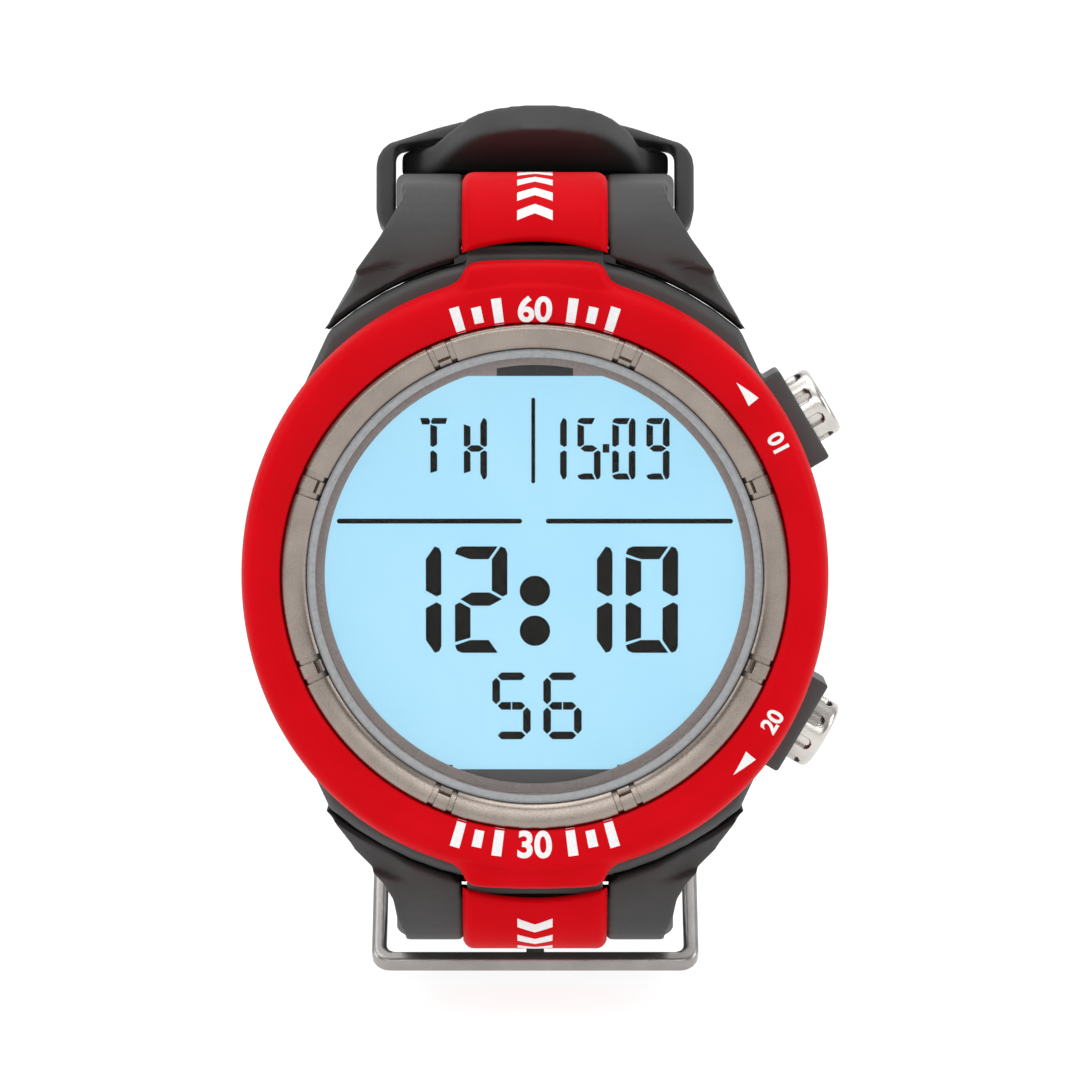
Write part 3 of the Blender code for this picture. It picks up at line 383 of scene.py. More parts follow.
def dress_nodes(finishes):
    """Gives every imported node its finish."""
    for finish, nodes in NODE_FINISHES.items():
        for node in nodes:
            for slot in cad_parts[node].material_slots:
                slot.material = finishes[finish]


# -------- bezel cover

# The cover's front, as (radius, depth) pairs from its inner edge over the crest to the skirt: where it
# is round, and in the middle of a strap tab. Both have the same number of points.
INNER_EDGE = [(19.97, 0.1), (20.0, -0.28), (20.2, -0.48), (20.8, -0.86)]
ROUND_FRONT = INNER_EDGE + [
    (21.4, -1.07), (21.92, -1.17), (22.4, -1.0), (22.75, -0.58), (22.96, 0.05),
    (BEZEL_R, 0.9), (BEZEL_R, 2.4), (22.95, 3.6),
]
TAB_FRONT = INNER_EDGE + [
    (21.8, -1.1), (22.7, -1.17), (22.98, -0.98), (23.2, -0.84), (24.15, -0.66),
    (24.62, -0.1), (24.72, 1.6), (24.72, 3.6),
]
SKIRT_TAPER = 0.12
COVER_BACK = [(21.75, SKIRT_BACK), (21.45, 3.6), (21.42, 0.72), (19.97, 0.72)]
# The outer edge of a tab and the fillets beside it: (degrees from its middle, radius).
TAB_EDGE = [
    (0, 24.72), (5, 24.78), (9, 24.92), (11.3, 24.95), (12.6, 24.78),
    (13.5, 24.35), (14.4, 23.95), (16.0, 23.72), (19.0, 23.67),
]
COVER_STEPS = 480
# How much the round cover swells towards the strap halves, and the radius from which it does.
BULGE = 0.62
BULGE_FROM_R = 21.4
BULGE_ANGLES = (30, 90)
ROUND_CURVE = curve_through(ROUND_FRONT, 4)
TAB_CURVE = curve_through(TAB_FRONT, 4)


def off_strap_axis(angle):
    """Degrees between a direction, given in radians from +Z, and the nearer strap half."""
    return abs(math.degrees(math.asin(math.sin(angle))))


def bulge(angle):
    """How much wider than at three o'clock the cover is: it swells towards both strap halves."""
    return BULGE * (1 - smoothstep(off_strap_axis(angle), *BULGE_ANGLES))


def tab_weight(angle):
    """How far the cover at an angle from +Z, in radians, has turned from a round edge into a tab."""
    off = off_strap_axis(angle)
    edge_r = BEZEL_R + bulge(angle)
    for (near, inner), (far, outer) in zip(TAB_EDGE, TAB_EDGE[1:]):
        if off <= far:
            part = (off - near) / (far - near)
            return (inner + (outer - inner) * part - edge_r) / (TAB_EDGE[0][1] - edge_r)
    return 0.0


def cover_front(angle):
    """The cover's front at an angle, as (radius, depth) points from its inner edge to the skirt."""
    weight = tab_weight(angle)
    swell = bulge(angle) / (BEZEL_R - BULGE_FROM_R)
    front = []
    for plain_edge, tab in zip(ROUND_CURVE, TAB_CURVE):
        grown = Vector((plain_edge.x + swell * max(0.0, plain_edge.x - BULGE_FROM_R), plain_edge.y))
        front.append(grown.lerp(tab, weight))
    return front


def cover_depth(angle, radius):
    """The depth of the cover's front at a place, found on its curve."""
    front = cover_front(angle)
    for start, end in zip(front, front[1:]):
        if start.x <= radius <= end.x and end.x > start.x:
            return start.y + (end.y - start.y) * (radius - start.x) / (end.x - start.x)
    return front[-1].y


def on_circle(angle, radius, depth):
    return radius * math.sin(angle), depth, radius * math.cos(angle)


def make_bezel_cover(finishes):
    bm = bmesh.new()
    rows = []
    for k in range(COVER_STEPS):
        angle = FULL_TURN * k / COVER_STEPS
        section = [tuple(p) for p in cover_front(angle)]
        section.append((section[-1][0] - SKIRT_TAPER, SKIRT_BACK))
        section += COVER_BACK
        rows.append([bm.verts.new(on_circle(angle, r, y)) for r, y in section])
    bridge_rows(bm, rows, closed_loop=True)
    cover = finish_mesh("bezel_cover_shell", bm, finishes["red"], "case", sharp=50)
    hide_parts("bezel_cover")


# -------- printed marks

# Half the thickness of a printed layer.
PRINT_LIFT = 0.022
# The longest edge in a printed layer, and how much bolder its letters are than the font's.
PRINT_EDGE = 0.3
GLYPH_BOLD = 0.03
MINUTE_MARK_R = 21.05
# The ticks beside a numeral: (distance from its middle, height).
MINUTE_TICKS = [(2.9, 2.1), (4.5, 1.3), (6.1, 2.1)]
TICK_WIDTH = 0.75
BUTTON_NUMERAL_R = 21.75
WEDGE_R = 21.95
WEDGE_BACK, WEDGE_POINT, WEDGE_HALF = 1.0, 1.05, 0.5
# (button, numeral, the numeral's angle, the wedge's angle), in degrees clockwise from +Z.
BUTTON_MARKS = [("sel", "10", 60.6, 48.4), ("esc", "20", 121.2, 132.1)]


def glyph_mesh(text, height):
    """A flat bmesh of a text's letters, centred, with u and v in its x and y, in millimetres."""
    curve = bpy.data.curves.new("glyphs", "FONT")
    curve.body = text
    curve.offset = GLYPH_BOLD
    helper = bpy.data.objects.new("glyphs", curve)
    show(helper)
    mesh = as_seen(helper)
    bm = bmesh.new()
    bm.from_mesh(mesh)
    bpy.data.objects.remove(helper)
    bpy.data.curves.remove(curve)
    bpy.data.meshes.remove(mesh)
    low = Vector((min(v.co.x for v in bm.verts), min(v.co.y for v in bm.verts), 0))
    high = Vector((max(v.co.x for v in bm.verts), max(v.co.y for v in bm.verts), 0))
    for v in bm.verts:
        v.co = (v.co - (low + high) / 2) * height / (high.y - low.y)
    return bm


def flat_mesh(outlines):
    bm = bmesh.new()
    for outline in outlines:
        bm.faces.new([bm.verts.new((u, v, 0)) for u, v in outline])
    return bm


def refine(bm, longest):
    """Splits the flat faces until no edge is longer than the given length."""
    bmesh.ops.remove_doubles(bm, verts=bm.verts, dist=1e-4)
    bmesh.ops.triangulate(bm, faces=bm.faces)
    for _ in range(5):
        long_edges = [e for e in bm.edges if e.calc_length() > longest]
        if not long_edges:
            return
        bmesh.ops.subdivide_edges(bm, edges=long_edges, cuts=1)
        bmesh.ops.triangulate(bm, faces=bm.faces)


def drape(name, flat, surface, finish, body):
    """A thin printed layer: flat (u, v) faces laid on surface(u, v, lift), which gives a point."""
    refine(flat, PRINT_EDGE)
    where = {v: (v.co.x, v.co.y) for v in flat.verts}
    shell = bmesh.new()
    top = {v: shell.verts.new(surface(u, w, PRINT_LIFT)) for v, (u, w) in where.items()}
    low = {v: shell.verts.new(surface(u, w, -PRINT_LIFT)) for v, (u, w) in where.items()}
    for face in flat.faces:
        corners = [loop.vert for loop in face.loops]
        shell.faces.new([top[v] for v in corners])
        shell.faces.new([low[v] for v in reversed(corners)])
    for edge in flat.edges:
        if len(edge.link_faces) == 1:
            a, b = edge.verts
            shell.faces.new([top[a], top[b], low[b], low[a]])
    flat.free()
    return finish_mesh(name, shell, finish, body)


def cover_surface(middle, ring_r, inward):
    """Maps a flat mark onto the cover, about a place at an angle clockwise from +Z."""
    sign = -1 if inward else 1

    def place(u, v, lift):
        angle = math.radians(middle) + sign * u / ring_r
        radius = ring_r + sign * v
        return on_circle(angle, radius, cover_depth(angle, radius) - lift)

    return place


def tick(place, height):
    low, high = place - TICK_WIDTH / 2, place + TICK_WIDTH / 2
    return [(low, -height / 2), (high, -height / 2), (high, height / 2), (low, height / 2)]


def make_cover_marks(finishes):
    ink = finishes["print"]
    for name, text, middle, inward in (("top", "60", 0, False), ("bottom", "30", 180, True)):
        surface = cover_surface(middle, MINUTE_MARK_R, inward)
        numeral = glyph_mesh(text, 2.1)
        drape(f"minute_numeral_{name}", numeral, surface, ink, "case")
        ticks = [tick(side * place, height) for side in (-1, 1) for place, height in MINUTE_TICKS]
        drape(f"minute_ticks_{name}", flat_mesh(ticks), surface, ink, "case")
    for name, text, middle, pointer in BUTTON_MARKS:
        numeral = glyph_mesh(text, 1.35)
        drape(f"{name}_numeral", numeral, cover_surface(middle, BUTTON_NUMERAL_R, True), ink, "case")
        towards = 1 if pointer > middle else -1
        wedge = [(-WEDGE_BACK * towards, -WEDGE_HALF), (WEDGE_POINT * towards, 0.0)]
        wedge.append((-WEDGE_BACK * towards, WEDGE_HALF))
        drape(f"{name}_wedge", flat_mesh([wedge]), cover_surface(pointer, WEDGE_R, False), ink, "case")


# -------- bezel ring

RING_INNER_R, RING_OUTER_R = 17.9, 19.94
RING_MIDDLE_R = 18.9
RING_BACK = 2.05
# The plates' rounded front, as (radius, depth). The inner wall reaches forward to RING_SHOULDER, and
# both walls have a corner at the depth RING_WALL.
RING_FRONT = [
    (18.02, -0.12), (18.3, -0.3), (18.8, -0.42), (19.4, -0.48),
    (19.72, -0.42), (19.9, -0.22), (19.94, 0.05),
]
RING_SHOULDER = 0.06
RING_WALL = 0.45
# Points of the section in front of this depth sink at a notch.
SINKS_BEFORE = 0.4
NOTCH_COUNT = 8
NOTCH_HALF = 1.02
BLOCK_HALF = 0.56
NOTCH_SINK = 0.5
BLOCK_SINK = 0.07
CROSS_LINE_R = 18.5
CROSS_LINE_SINK = 0.2
BLOCK_STEP = 0.1
NOTCH_EDGE = 0.05


def notch_sink(offset, radius):
    """How much lower than the plates the ring is, at a distance from a notch's middle."""
    off = abs(offset)
    if off > NOTCH_HALF:
        return 0.0
    sink = NOTCH_SINK * (1 - smoothstep(off, NOTCH_HALF - NOTCH_EDGE, NOTCH_HALF))
    block = BLOCK_SINK + BLOCK_STEP * (1 - smoothstep(radius, CROSS_LINE_R, CROSS_LINE_R + 0.06))
    block += CROSS_LINE_SINK * (1 - smoothstep(abs(radius - CROSS_LINE_R), 0.05, 0.1))
    share = 1 - smoothstep(off, BLOCK_HALF - NOTCH_EDGE, BLOCK_HALF)
    return sink + (min(block, sink) - sink) * share


def ring_offsets():
    """Distances from a notch's middle at which the ring has a section, close together at the notch."""
    edges = [0.0, 0.25, BLOCK_HALF - NOTCH_EDGE, BLOCK_HALF - NOTCH_EDGE / 2, BLOCK_HALF, 0.78]
    edges += [NOTCH_HALF - NOTCH_EDGE, NOTCH_HALF - NOTCH_EDGE / 2, NOTCH_HALF]
    half_plate = RING_MIDDLE_R * math.pi / NOTCH_COUNT
    edges += [NOTCH_HALF + (half_plate - NOTCH_HALF) * k / 12 for k in range(1, 13)]
    return [-e for e in reversed(edges[1:])] + edges[:-1]


def make_bezel_ring(finishes):
    section = [(RING_INNER_R, RING_WALL), (RING_INNER_R, RING_SHOULDER)]
    section += [tuple(p) for p in curve_through(RING_FRONT, 6)]
    section += [(RING_OUTER_R, RING_WALL), (RING_OUTER_R, RING_BACK), (RING_INNER_R, RING_BACK)]
    bm = bmesh.new()
    rows = []
    for notch in range(NOTCH_COUNT):
        middle = FULL_TURN * (notch + 0.5) / NOTCH_COUNT
        for offset in ring_offsets():
            angle = middle + offset / RING_MIDDLE_R
            sunk = [(r, y + notch_sink(offset, r) if y < SINKS_BEFORE else y) for r, y in section]
            rows.append([bm.verts.new(on_circle(angle, r, y)) for r, y in sunk])
    bridge_rows(bm, rows, closed_loop=True)
    ring = finish_mesh("bezel_ring_plates", bm, finishes["ring"], "case", sharp=30)
    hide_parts("bezel_ring")


# -------- push buttons

BUTTON_TILT = 30.5
BUTTON_DEPTH = (extent("sel_button")[0].y + extent("sel_button")[1].y) / 2
BUTTON_R = 2.85
# Places along a button's axis from the display's axis: the stem's end, the cap's skirt and its face.
STEM_END = 17.4
BUTTON_SKIRT = 23.8
BUTTON_FACE = 26.7
BUTTON_ROUND = 0.5
BUTTON_STEPS = 192
SIDE_STEP = 0.08
FLUTE_COUNT = 8
FLUTE_HALF = 0.52
FLUTE_SINK = 0.42
FLUTE_SOFT = 0.12
FLUTE_END = 25.95
FLUTE_TURN = 20.0
STEM_R = 0.9


def flute_sink(around, along):
    """The depth of a flute at a place on the button's side; its outer end is round."""
    pitch = FULL_TURN * BUTTON_R / FLUTE_COUNT
    off = (around + pitch / 2) % pitch - pitch / 2
    past = max(0.0, along - (FLUTE_END - FLUTE_HALF))
    reach = math.hypot(off, past)
    return FLUTE_SINK * (1 - smoothstep(reach, FLUTE_HALF - FLUTE_SOFT, FLUTE_HALF))


def fluted_radius(radius, along, angle):
    if radius <= BUTTON_R - 0.3:
        return radius
    return radius - flute_sink((angle - math.radians(FLUTE_TURN)) * BUTTON_R, along)


def button_profile():
    """The button's outline, as (radius, distance from the display's axis), from its stem to its face."""
    side_count = int((BUTTON_FACE - 0.55 - BUTTON_SKIRT) / SIDE_STEP) + 1
    profile = [(0, STEM_END), (STEM_R, STEM_END), (STEM_R, BUTTON_SKIRT)]
    profile.append((BUTTON_R - BUTTON_ROUND, BUTTON_SKIRT))
    profile += [(BUTTON_R, BUTTON_SKIRT + SIDE_STEP * k) for k in range(side_count)]
    for k in range(1, 8):
        turn = math.radians(90 * k / 7)
        radius = BUTTON_R - BUTTON_ROUND + BUTTON_ROUND * math.cos(turn)
        profile.append((radius, BUTTON_FACE - BUTTON_ROUND + BUTTON_ROUND * math.sin(turn)))
    return profile + [(1.5, BUTTON_FACE - 0.02), (0, BUTTON_FACE - 0.05)]


def make_button(name, sign, finishes):
    tilt = math.radians(BUTTON_TILT)
    axis = (math.cos(tilt), 0, sign * math.sin(tilt))
    place = Matrix.Translation((0, BUTTON_DEPTH, 0)) @ turn_to(axis)
    bm = bmesh.new()
    skin_rows(bm, turned_rows(bm, button_profile(), place, BUTTON_STEPS, fluted_radius))
    button = finish_mesh(f"{name}_fluted_cap", bm, finishes["cap"], name, sharp=40)
    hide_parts(name)


# -------- moulded pieces

# The share of its triangles that a remeshed piece keeps.
KEPT_SHARE = 0.5
# A lip's radius beside the pin. Towards the front it stands off by LIP_SWING per millimetre of depth,
# which is the room that the strap half needs when it turns on its pin.
LIP_R = 25.0
LIP_SWING = 0.078
LIP_FRONT, LIP_BACK = 5.3, 10.2
LIP_FRONT_R = LIP_R + LIP_SWING * (PIN_DEPTH - LIP_FRONT)
# Its outer radius at the wing's corner, how much that grows for each degree from there, and its limits.
LIP_CORNER_R = 25.15
LIP_FLARE = 0.17
LIP_OUTER_R = 26.6
LIP_LEAST = 0.1
LIP_ANGLES = (14.8, 41.0)
LIP_STEPS = 12
# The crease across each wing: its height at a distance from the middle, and its slope from there.
CREASE_AT, CREASE_HEIGHT, CREASE_SLOPE = 10.4, 24.9, 0.34
CREASE_INWARD, CREASE_SINK = 0.22, 0.9
# Half widths of the band, of the free end, and of both where they fill the keeper's window.
BAND_HALF = 11.2
FREE_HALF = 10.9
KEEPER_FILL = 11.32
# The free end in front of this depth is the tip, which leans to one side.
TIP_DEPTH = 22.4
TIP_LEAN = 0.4
PRONG_NARROWING = 0.75


def remould(node, name, finish, body, voxel_mm, rounds, helper=None, shape=None):
    """A finely meshed copy of a node with its edges rounded, as a mould leaves them.

    helper(bm) adds to the node's shape before that, and shape(point) moves each vertex after it.
    """
    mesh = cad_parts[node].data.copy()
    mesh.transform(Matrix.Scale(1 / MM, 4))
    if helper is not None:
        bm = bmesh.new()
        bm.from_mesh(mesh)
        helper(bm)
        bm.to_mesh(mesh)
        bm.free()
    mesh.materials.clear()
    piece = bpy.data.objects.new(name, mesh)
    show(piece)
    grid = piece.modifiers.new("grid", "REMESH")
    grid.mode = "VOXEL"
    grid.voxel_size = voxel_mm
    soft = piece.modifiers.new("soft", "SMOOTH")
    soft.factor = 0.5
    soft.iterations = rounds
    thin = piece.modifiers.new("thin", "DECIMATE")
    thin.ratio = KEPT_SHARE
    made = as_seen(piece)
    piece.modifiers.clear()
    piece.data = made
    bpy.data.meshes.remove(mesh)
    if shape is not None:
        for vertex in made.vertices:
            vertex.co = shape(vertex.co)
    made.transform(Matrix.Scale(MM, 4))
    made.materials.append(finish)
    made.shade_smooth()
    if body is not None:
        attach(piece, body)
    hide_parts(node)
    return piece


def add_lips(sign):
    """Gives a strap half a lip that closes the groove beside the case's shoulder, under each wing."""
    def helper(bm):
        for side in (-1, 1):
            rows = []
            for k in range(LIP_STEPS + 1):
                off = LIP_ANGLES[0] + (LIP_ANGLES[1] - LIP_ANGLES[0]) * k / LIP_STEPS
                across, up = side * math.sin(math.radians(off)), sign * math.cos(math.radians(off))
                outer = min(LIP_OUTER_R, LIP_CORNER_R + (LIP_ANGLES[1] - off) * LIP_FLARE)
                outer = max(outer, LIP_FRONT_R + LIP_LEAST)
                corners = [(LIP_FRONT_R, LIP_FRONT), (outer, LIP_FRONT), (outer, LIP_BACK)]
                corners += [(LIP_R + 0.05, LIP_BACK), (LIP_R, PIN_DEPTH - 0.2)]
                rows.append([bm.verts.new((r * across, y, r * up)) for r, y in corners])
            faces_before = set(bm.faces)
            bridge_rows(bm, rows)
            bm.faces.new(rows[0])
            bm.faces.new(rows[-1])
            bmesh.ops.recalc_face_normals(bm, faces=[f for f in bm.faces if f not in faces_before])
    return helper


def fold_wings(point):
    """Sinks each wing's outer corner below a crease that fades towards the middle."""
    across, up = abs(point.x), abs(point.z)
    crease = CREASE_HEIGHT - (across - CREASE_AT) * CREASE_SLOPE
    if point.y > 9 or across < 9 or up > crease + 0.3:
        return point
    share = smoothstep(across, 9.6, 12.6) * smoothstep(crease + 0.15 - up, 0.0, 0.35)
    share *= 1 - smoothstep(crease - up, 1.2, 3.6)
    share *= 1 - smoothstep(point.y, 5.5, 8.5)
    inward = CREASE_INWARD * share * (1 if point.x > 0 else -1)
    return Vector((point.x - inward, point.y + CREASE_SINK * share, point.z))


def fill_keeper(point, half):
    """Widens a strap's sides from a half width where it fills the keeper's window."""
    across = abs(point.x)
    if point.z < 24 or point.y < 13.5:
        return point
    share = smoothstep(across, half - 1.0, half) * smoothstep(point.y, 13.5, 17.0)
    share *= 1 - smoothstep(point.y, 24.0, 30.0)
    wider = (KEEPER_FILL - half) * share
    return Vector((point.x + math.copysign(wider, point.x), point.y, point.z))


def upper_shape(point):
    """The folds of the upper wings and the band's sides."""
    return fill_keeper(fold_wings(point), BAND_HALF)


def lower_shape(point):
    """The folds of the lower wings, the free end's sides, and the tip's slight lean to one side."""
    if point.z < 20:
        return fold_wings(point)
    if point.y > TIP_DEPTH:
        return fill_keeper(point, FREE_HALF)
    return Vector((point.x + TIP_LEAN * smoothstep(TIP_DEPTH - point.y, 0.0, 4.0), point.y, point.z))


def make_straps(finishes):
    rubber = finishes["strap"]
    upper = remould(
        "upper_strap", "upper_strap_moulding", rubber, "upper_strap", 0.2, 5, add_lips(1), upper_shape
    )
    lower = remould(
        "lower_strap", "lower_strap_moulding", rubber, None, 0.2, 5, add_lips(-1), lower_shape
    )
    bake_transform(lower)


def slim_prong(point):
    """Narrows the prong, so that it passes the strap's slots once their edges are rounded."""
    return Vector((point.x * PRONG_NARROWING, point.y, point.z))


def make_small_mouldings(finishes):
    for node, finish, body, slot, voxel, rounds, shape in (
        ("case_body", "case", "case", "case", 0.2, 3, None),
        ("keeper", "strap", "keeper", "keeper", 0.16, 6, None),
        ("buckle_frame", "buckle", "buckle", "buckle_steel", 0.12, 4, None),
        ("buckle_prong", "buckle", "prong", "buckle_steel", 0.11, 5, slim_prong),
    ):
        piece = remould(node, f"{node}_shape", finishes[finish], body, voxel, rounds, shape=shape)


# -------- strap inlays

INLAY_HALF = 5.75
# The outer radius of each inlay about its pin, for the upper strap half and for the lower one.
INLAY_R = {1: extent("upper_strap_inlay")[1].z - PIN_Z, -1: -extent("lower_strap_inlay")[0].z - PIN_Z}
# The front end's angle about the pin in the middle, and how much more it is at the sides.
INLAY_START = 174.0
INLAY_DROOP = 10.0
# The depth of the back end.
INLAY_END = 19.1
# The radii of the rounded sides, front end and back end, and the most that they drop.
INLAY_EDGE = 0.85
FRONT_EDGE, BACK_EDGE = 0.5, 0.4
MOST_DROP = 0.6
# The inlay's thickness at its front end, and how much thicker it is further on.
INLAY_THIN, INLAY_THICKER = 0.62, 0.36
STRAIGHT_FALL = 0.02
CHEVRON_FIRST = 1.7
CHEVRON_PITCH = 1.75
CHEVRON_COUNT = 5
CHEVRON_HALF, CHEVRON_RISE, CHEVRON_THICK = 1.4, 0.55, 0.85


def inlay_spine(along, start, radius):
    """A point on the inlay's outer middle line, and its outward direction there.

    Both are (depth, height) from the pin, and along is a distance from the front end.
    """
    angle = math.radians(start) - along / radius
    if angle > math.pi / 2:
        out = Vector((math.cos(angle), math.sin(angle)))
        return out * radius, out
    past = (math.pi / 2 - angle) * radius
    return Vector((past, radius - past * STRAIGHT_FALL)), Vector((STRAIGHT_FALL, 1.0)).normalized()


def edge_drop(distance, radius):
    """How far a rounded edge has dropped at a distance from it."""
    if distance >= radius:
        return 0.0
    return radius - math.sqrt(max(0.0, radius * radius - (radius - distance) ** 2))


def inlay_start(across):
    return INLAY_START + INLAY_DROOP * (across / INLAY_HALF) ** 2


def inlay_length(start, radius):
    return math.radians(start - 90) * radius + INLAY_END - PIN_DEPTH


def inlay_point(across, along, sign, lift):
    """A place on the inlay's outer face, with its rounded sides and ends, raised by lift."""
    start = inlay_start(across)
    spine, out = inlay_spine(along, start, INLAY_R[sign])
    drop = edge_drop(INLAY_HALF - abs(across), INLAY_EDGE)
    left = inlay_length(start, INLAY_R[sign]) - along
    drop = max(drop, edge_drop(along, FRONT_EDGE), edge_drop(left, BACK_EDGE))
    place = spine + out * (lift - min(drop, MOST_DROP))
    return across, PIN_DEPTH + place.x, sign * (PIN_Z + place.y)


def inlay_back(across, along, sign):
    """A place on the inlay's inner face."""
    start = inlay_start(across)
    spine, out = inlay_spine(along, start, INLAY_R[sign])
    thick = INLAY_THIN + INLAY_THICKER * smoothstep(along, 1.5, 4.0)
    place = spine - out * thick
    return across, PIN_DEPTH + place.x, sign * (PIN_Z + place.y)


def spread(length, edge, fine, coarse):
    """Places along a length, close together within an edge's width of both ends."""
    near = [edge * (1 - math.cos(math.pi / 2 * k / fine)) for k in range(fine + 1)]
    middle = [edge + (length - 2 * edge) * k / coarse for k in range(1, coarse)]
    return near + middle + [length - n for n in reversed(near)]


def make_inlay(name, node, sign, body, finishes):
    columns = [c - INLAY_HALF for c in spread(2 * INLAY_HALF, INLAY_EDGE, 7, 20)]
    shares = [s / 20 for s in spread(20, 0.5, 6, 60)]
    bm = bmesh.new()
    outer, inner = [], []
    for share in shares:
        outer.append([])
        inner.append([])
        for across in columns:
            along = share * inlay_length(inlay_start(across), INLAY_R[sign])
            outer[-1].append(bm.verts.new(inlay_point(across, along, sign, 0.0)))
            inner[-1].append(bm.verts.new(inlay_back(across, along, sign)))
    bridge_rows(bm, [o + list(reversed(i)) for o, i in zip(outer, inner)])
    for o, i in ((outer[0], inner[0]), (outer[-1], inner[-1])):
        for k in range(len(columns) - 1):
            bm.faces.new([o[k], o[k + 1], i[k + 1], i[k]])
    inlay = finish_mesh(name, bm, finishes["red"], body, sharp=60)
    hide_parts(node)
    chevrons = [chevron(CHEVRON_FIRST + CHEVRON_PITCH * k) for k in range(CHEVRON_COUNT)]

    def surface(u, v, lift):
        return inlay_point(u, v, sign, lift)

    drape(f"{name}_chevrons", flat_mesh(chevrons), surface, finishes["print"], body)


def chevron(along):
    """The outline of a chevron at a distance from the inlay's front end."""
    front = [(-CHEVRON_HALF, along), (0, along + CHEVRON_RISE), (CHEVRON_HALF, along)]
    return front + [(u, v + CHEVRON_THICK) for u, v in reversed(front)]


# -------- display

# Places on the display are (x, z) in millimetres from its middle.
PLATE_THICK = 0.04
TIME_LEFTS = (-11.5, -6.3, 1.98, 7.15)
TIME_LOW, TIME_HEIGHT = -6.2, 8.42
COLON_R = 1.2
COLON_HEIGHTS = (-1.3, -4.45)
DATE_LEFTS = (0.68, 3.34, 6.08, 8.76)
DATE_LOW, DATE_HEIGHT = 7.5, 4.85
DATE_DOT = [(5.33, 9.62), (5.85, 9.62), (5.85, 10.3), (5.33, 10.3)]
SECONDS_LEFTS = (-3.36, 0.66)
SECONDS_LOW, SECONDS_HEIGHT = -13.06, 5.3
RULES = ((-15.4, -1.2), (1.05, 15.4))
RULE_HEIGHT = 4.22
RULE_HALF = 0.19
# The segments lit in each digit. A split middle bar has h as its outer half, lit in both seconds digits.
DIGITS = {"0": "abcdef", "1": "bc", "2": "abged", "5": "afgcd", "6": "afgecd", "9": "abcdfg"}
# The weekday's letters, one unit high, in the date's style.
LETTER_H_LEFT, LETTER_T_LEFT = -5.59, -9.02
LETTER_H_CORNER = [(0.0, 0.55), (0.045, 0.53), (0.108, 0.57), (0.108, 0.86), (0.0, 0.90)]
LETTER_T = [
    [(0.0, 1.0), (0.135, 1.0), (0.165, 0.945), (0.145, 0.895), (0.03, 0.895)],
    [(0.175, 0.945), (0.205, 1.0), (0.44, 1.0), (0.415, 0.905), (0.19, 0.905)],
    [(0.165, 0.895), (0.275, 0.86), (0.275, 0.57), (0.21, 0.53), (0.165, 0.55)],
    [(0.165, 0.105), (0.275, 0.14), (0.275, 0.42), (0.21, 0.475), (0.165, 0.45)],
]
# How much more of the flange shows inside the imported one's edge.
FLANGE_SHOW = 0.45
# The masks: their edges above and below the lit area, and half the width of the dark part above it.
MASK_LOW = 15.66
LIT_LOW = 15.45
MASK_DARK_HALF = 3.0
LCD_FOOT = extent("lcd_panel")[0].z + 0.05


def unit_segments(width, upright, level):
    """The seven wedge-shaped segments of a digit one unit high: name to outline."""
    w, v, h = width, upright, level
    edge = w - v
    mid = 0.505
    return {
        "a": [
            (0.0, 0.93), (0.02, 0.98), (0.065, 1.0), (w - 0.09, 1.0), (edge - 0.03, 1 - h), (v - 0.005, 1 - h)
        ],
        "b": [
            (edge, 1 - h), (w - 0.062, 1.0), (w - 0.02, 0.985), (w, 0.94),
            (w, 0.55), (w - 0.045, 0.53), (edge, 0.53 + v * 0.38),
        ],
        "c": [
            (edge, h), (w - 0.062, 0.0), (w - 0.02, 0.015), (w, 0.06),
            (w, 0.45), (w - 0.045, 0.475), (edge, 0.475 - v * 0.38),
        ],
        "d": [(0.0, 0.07), (0.02, 0.02), (0.065, 0.0), (w - 0.09, 0.0), (edge - 0.03, h), (v - 0.005, h)],
        "e": [(0.0, 0.10), (v, 0.10 + h * 0.35), (v, 0.475 - v * 0.38), (0.045, 0.475), (0.0, 0.45)],
        "f": [(0.0, 0.90), (v, 0.90 - h * 0.35), (v, 0.53 + v * 0.38), (0.045, 0.53), (0.0, 0.55)],
        "g": [
            (0.05, mid), (v + 0.01, mid + h * 0.52), (edge - 0.02, mid + h * 0.52),
            (w - 0.05, mid), (edge - 0.02, mid - h * 0.52), (v + 0.01, mid - h * 0.52),
        ],
    }


def hex_segments(width, thick):
    """Seven six-sided segments of a digit one unit high, with a split middle bar."""
    half = thick / 2
    gap = 0.022
    split = 0.008

    def bar(start, end):
        along = (Vector(end) - Vector(start)).normalized()
        side = Vector((-along.y, along.x)) * half
        first = Vector(start) + along * gap
        last = Vector(end) - along * gap
        inset = along * half
        upper = [first + side + inset, last + side - inset]
        lower = [last - side - inset, first - side + inset]
        return [first, *upper, last, *lower]

    left, right = half, width - half
    low, mid, high = half, 0.5, 1 - half
    centre = width / 2
    near = bar((left, mid), (centre + half, mid))[:2]
    near += [(centre - split, mid + half), (centre - split, mid - half)]
    near += bar((left, mid), (centre, mid))[5:]
    far = [(centre + split, mid - half), (centre + split, mid + half)]
    far += bar((centre - half, mid), (right, mid))[2:5]
    return {
        "a": bar((left, high), (right, high)),
        "b": bar((right, mid), (right, high)),
        "c": bar((right, low), (right, mid)),
        "d": bar((left, low), (right, low)),
        "e": bar((left, low), (left, mid)),
        "f": bar((left, mid), (left, high)),
        "g": near,
        "h": far,
    }


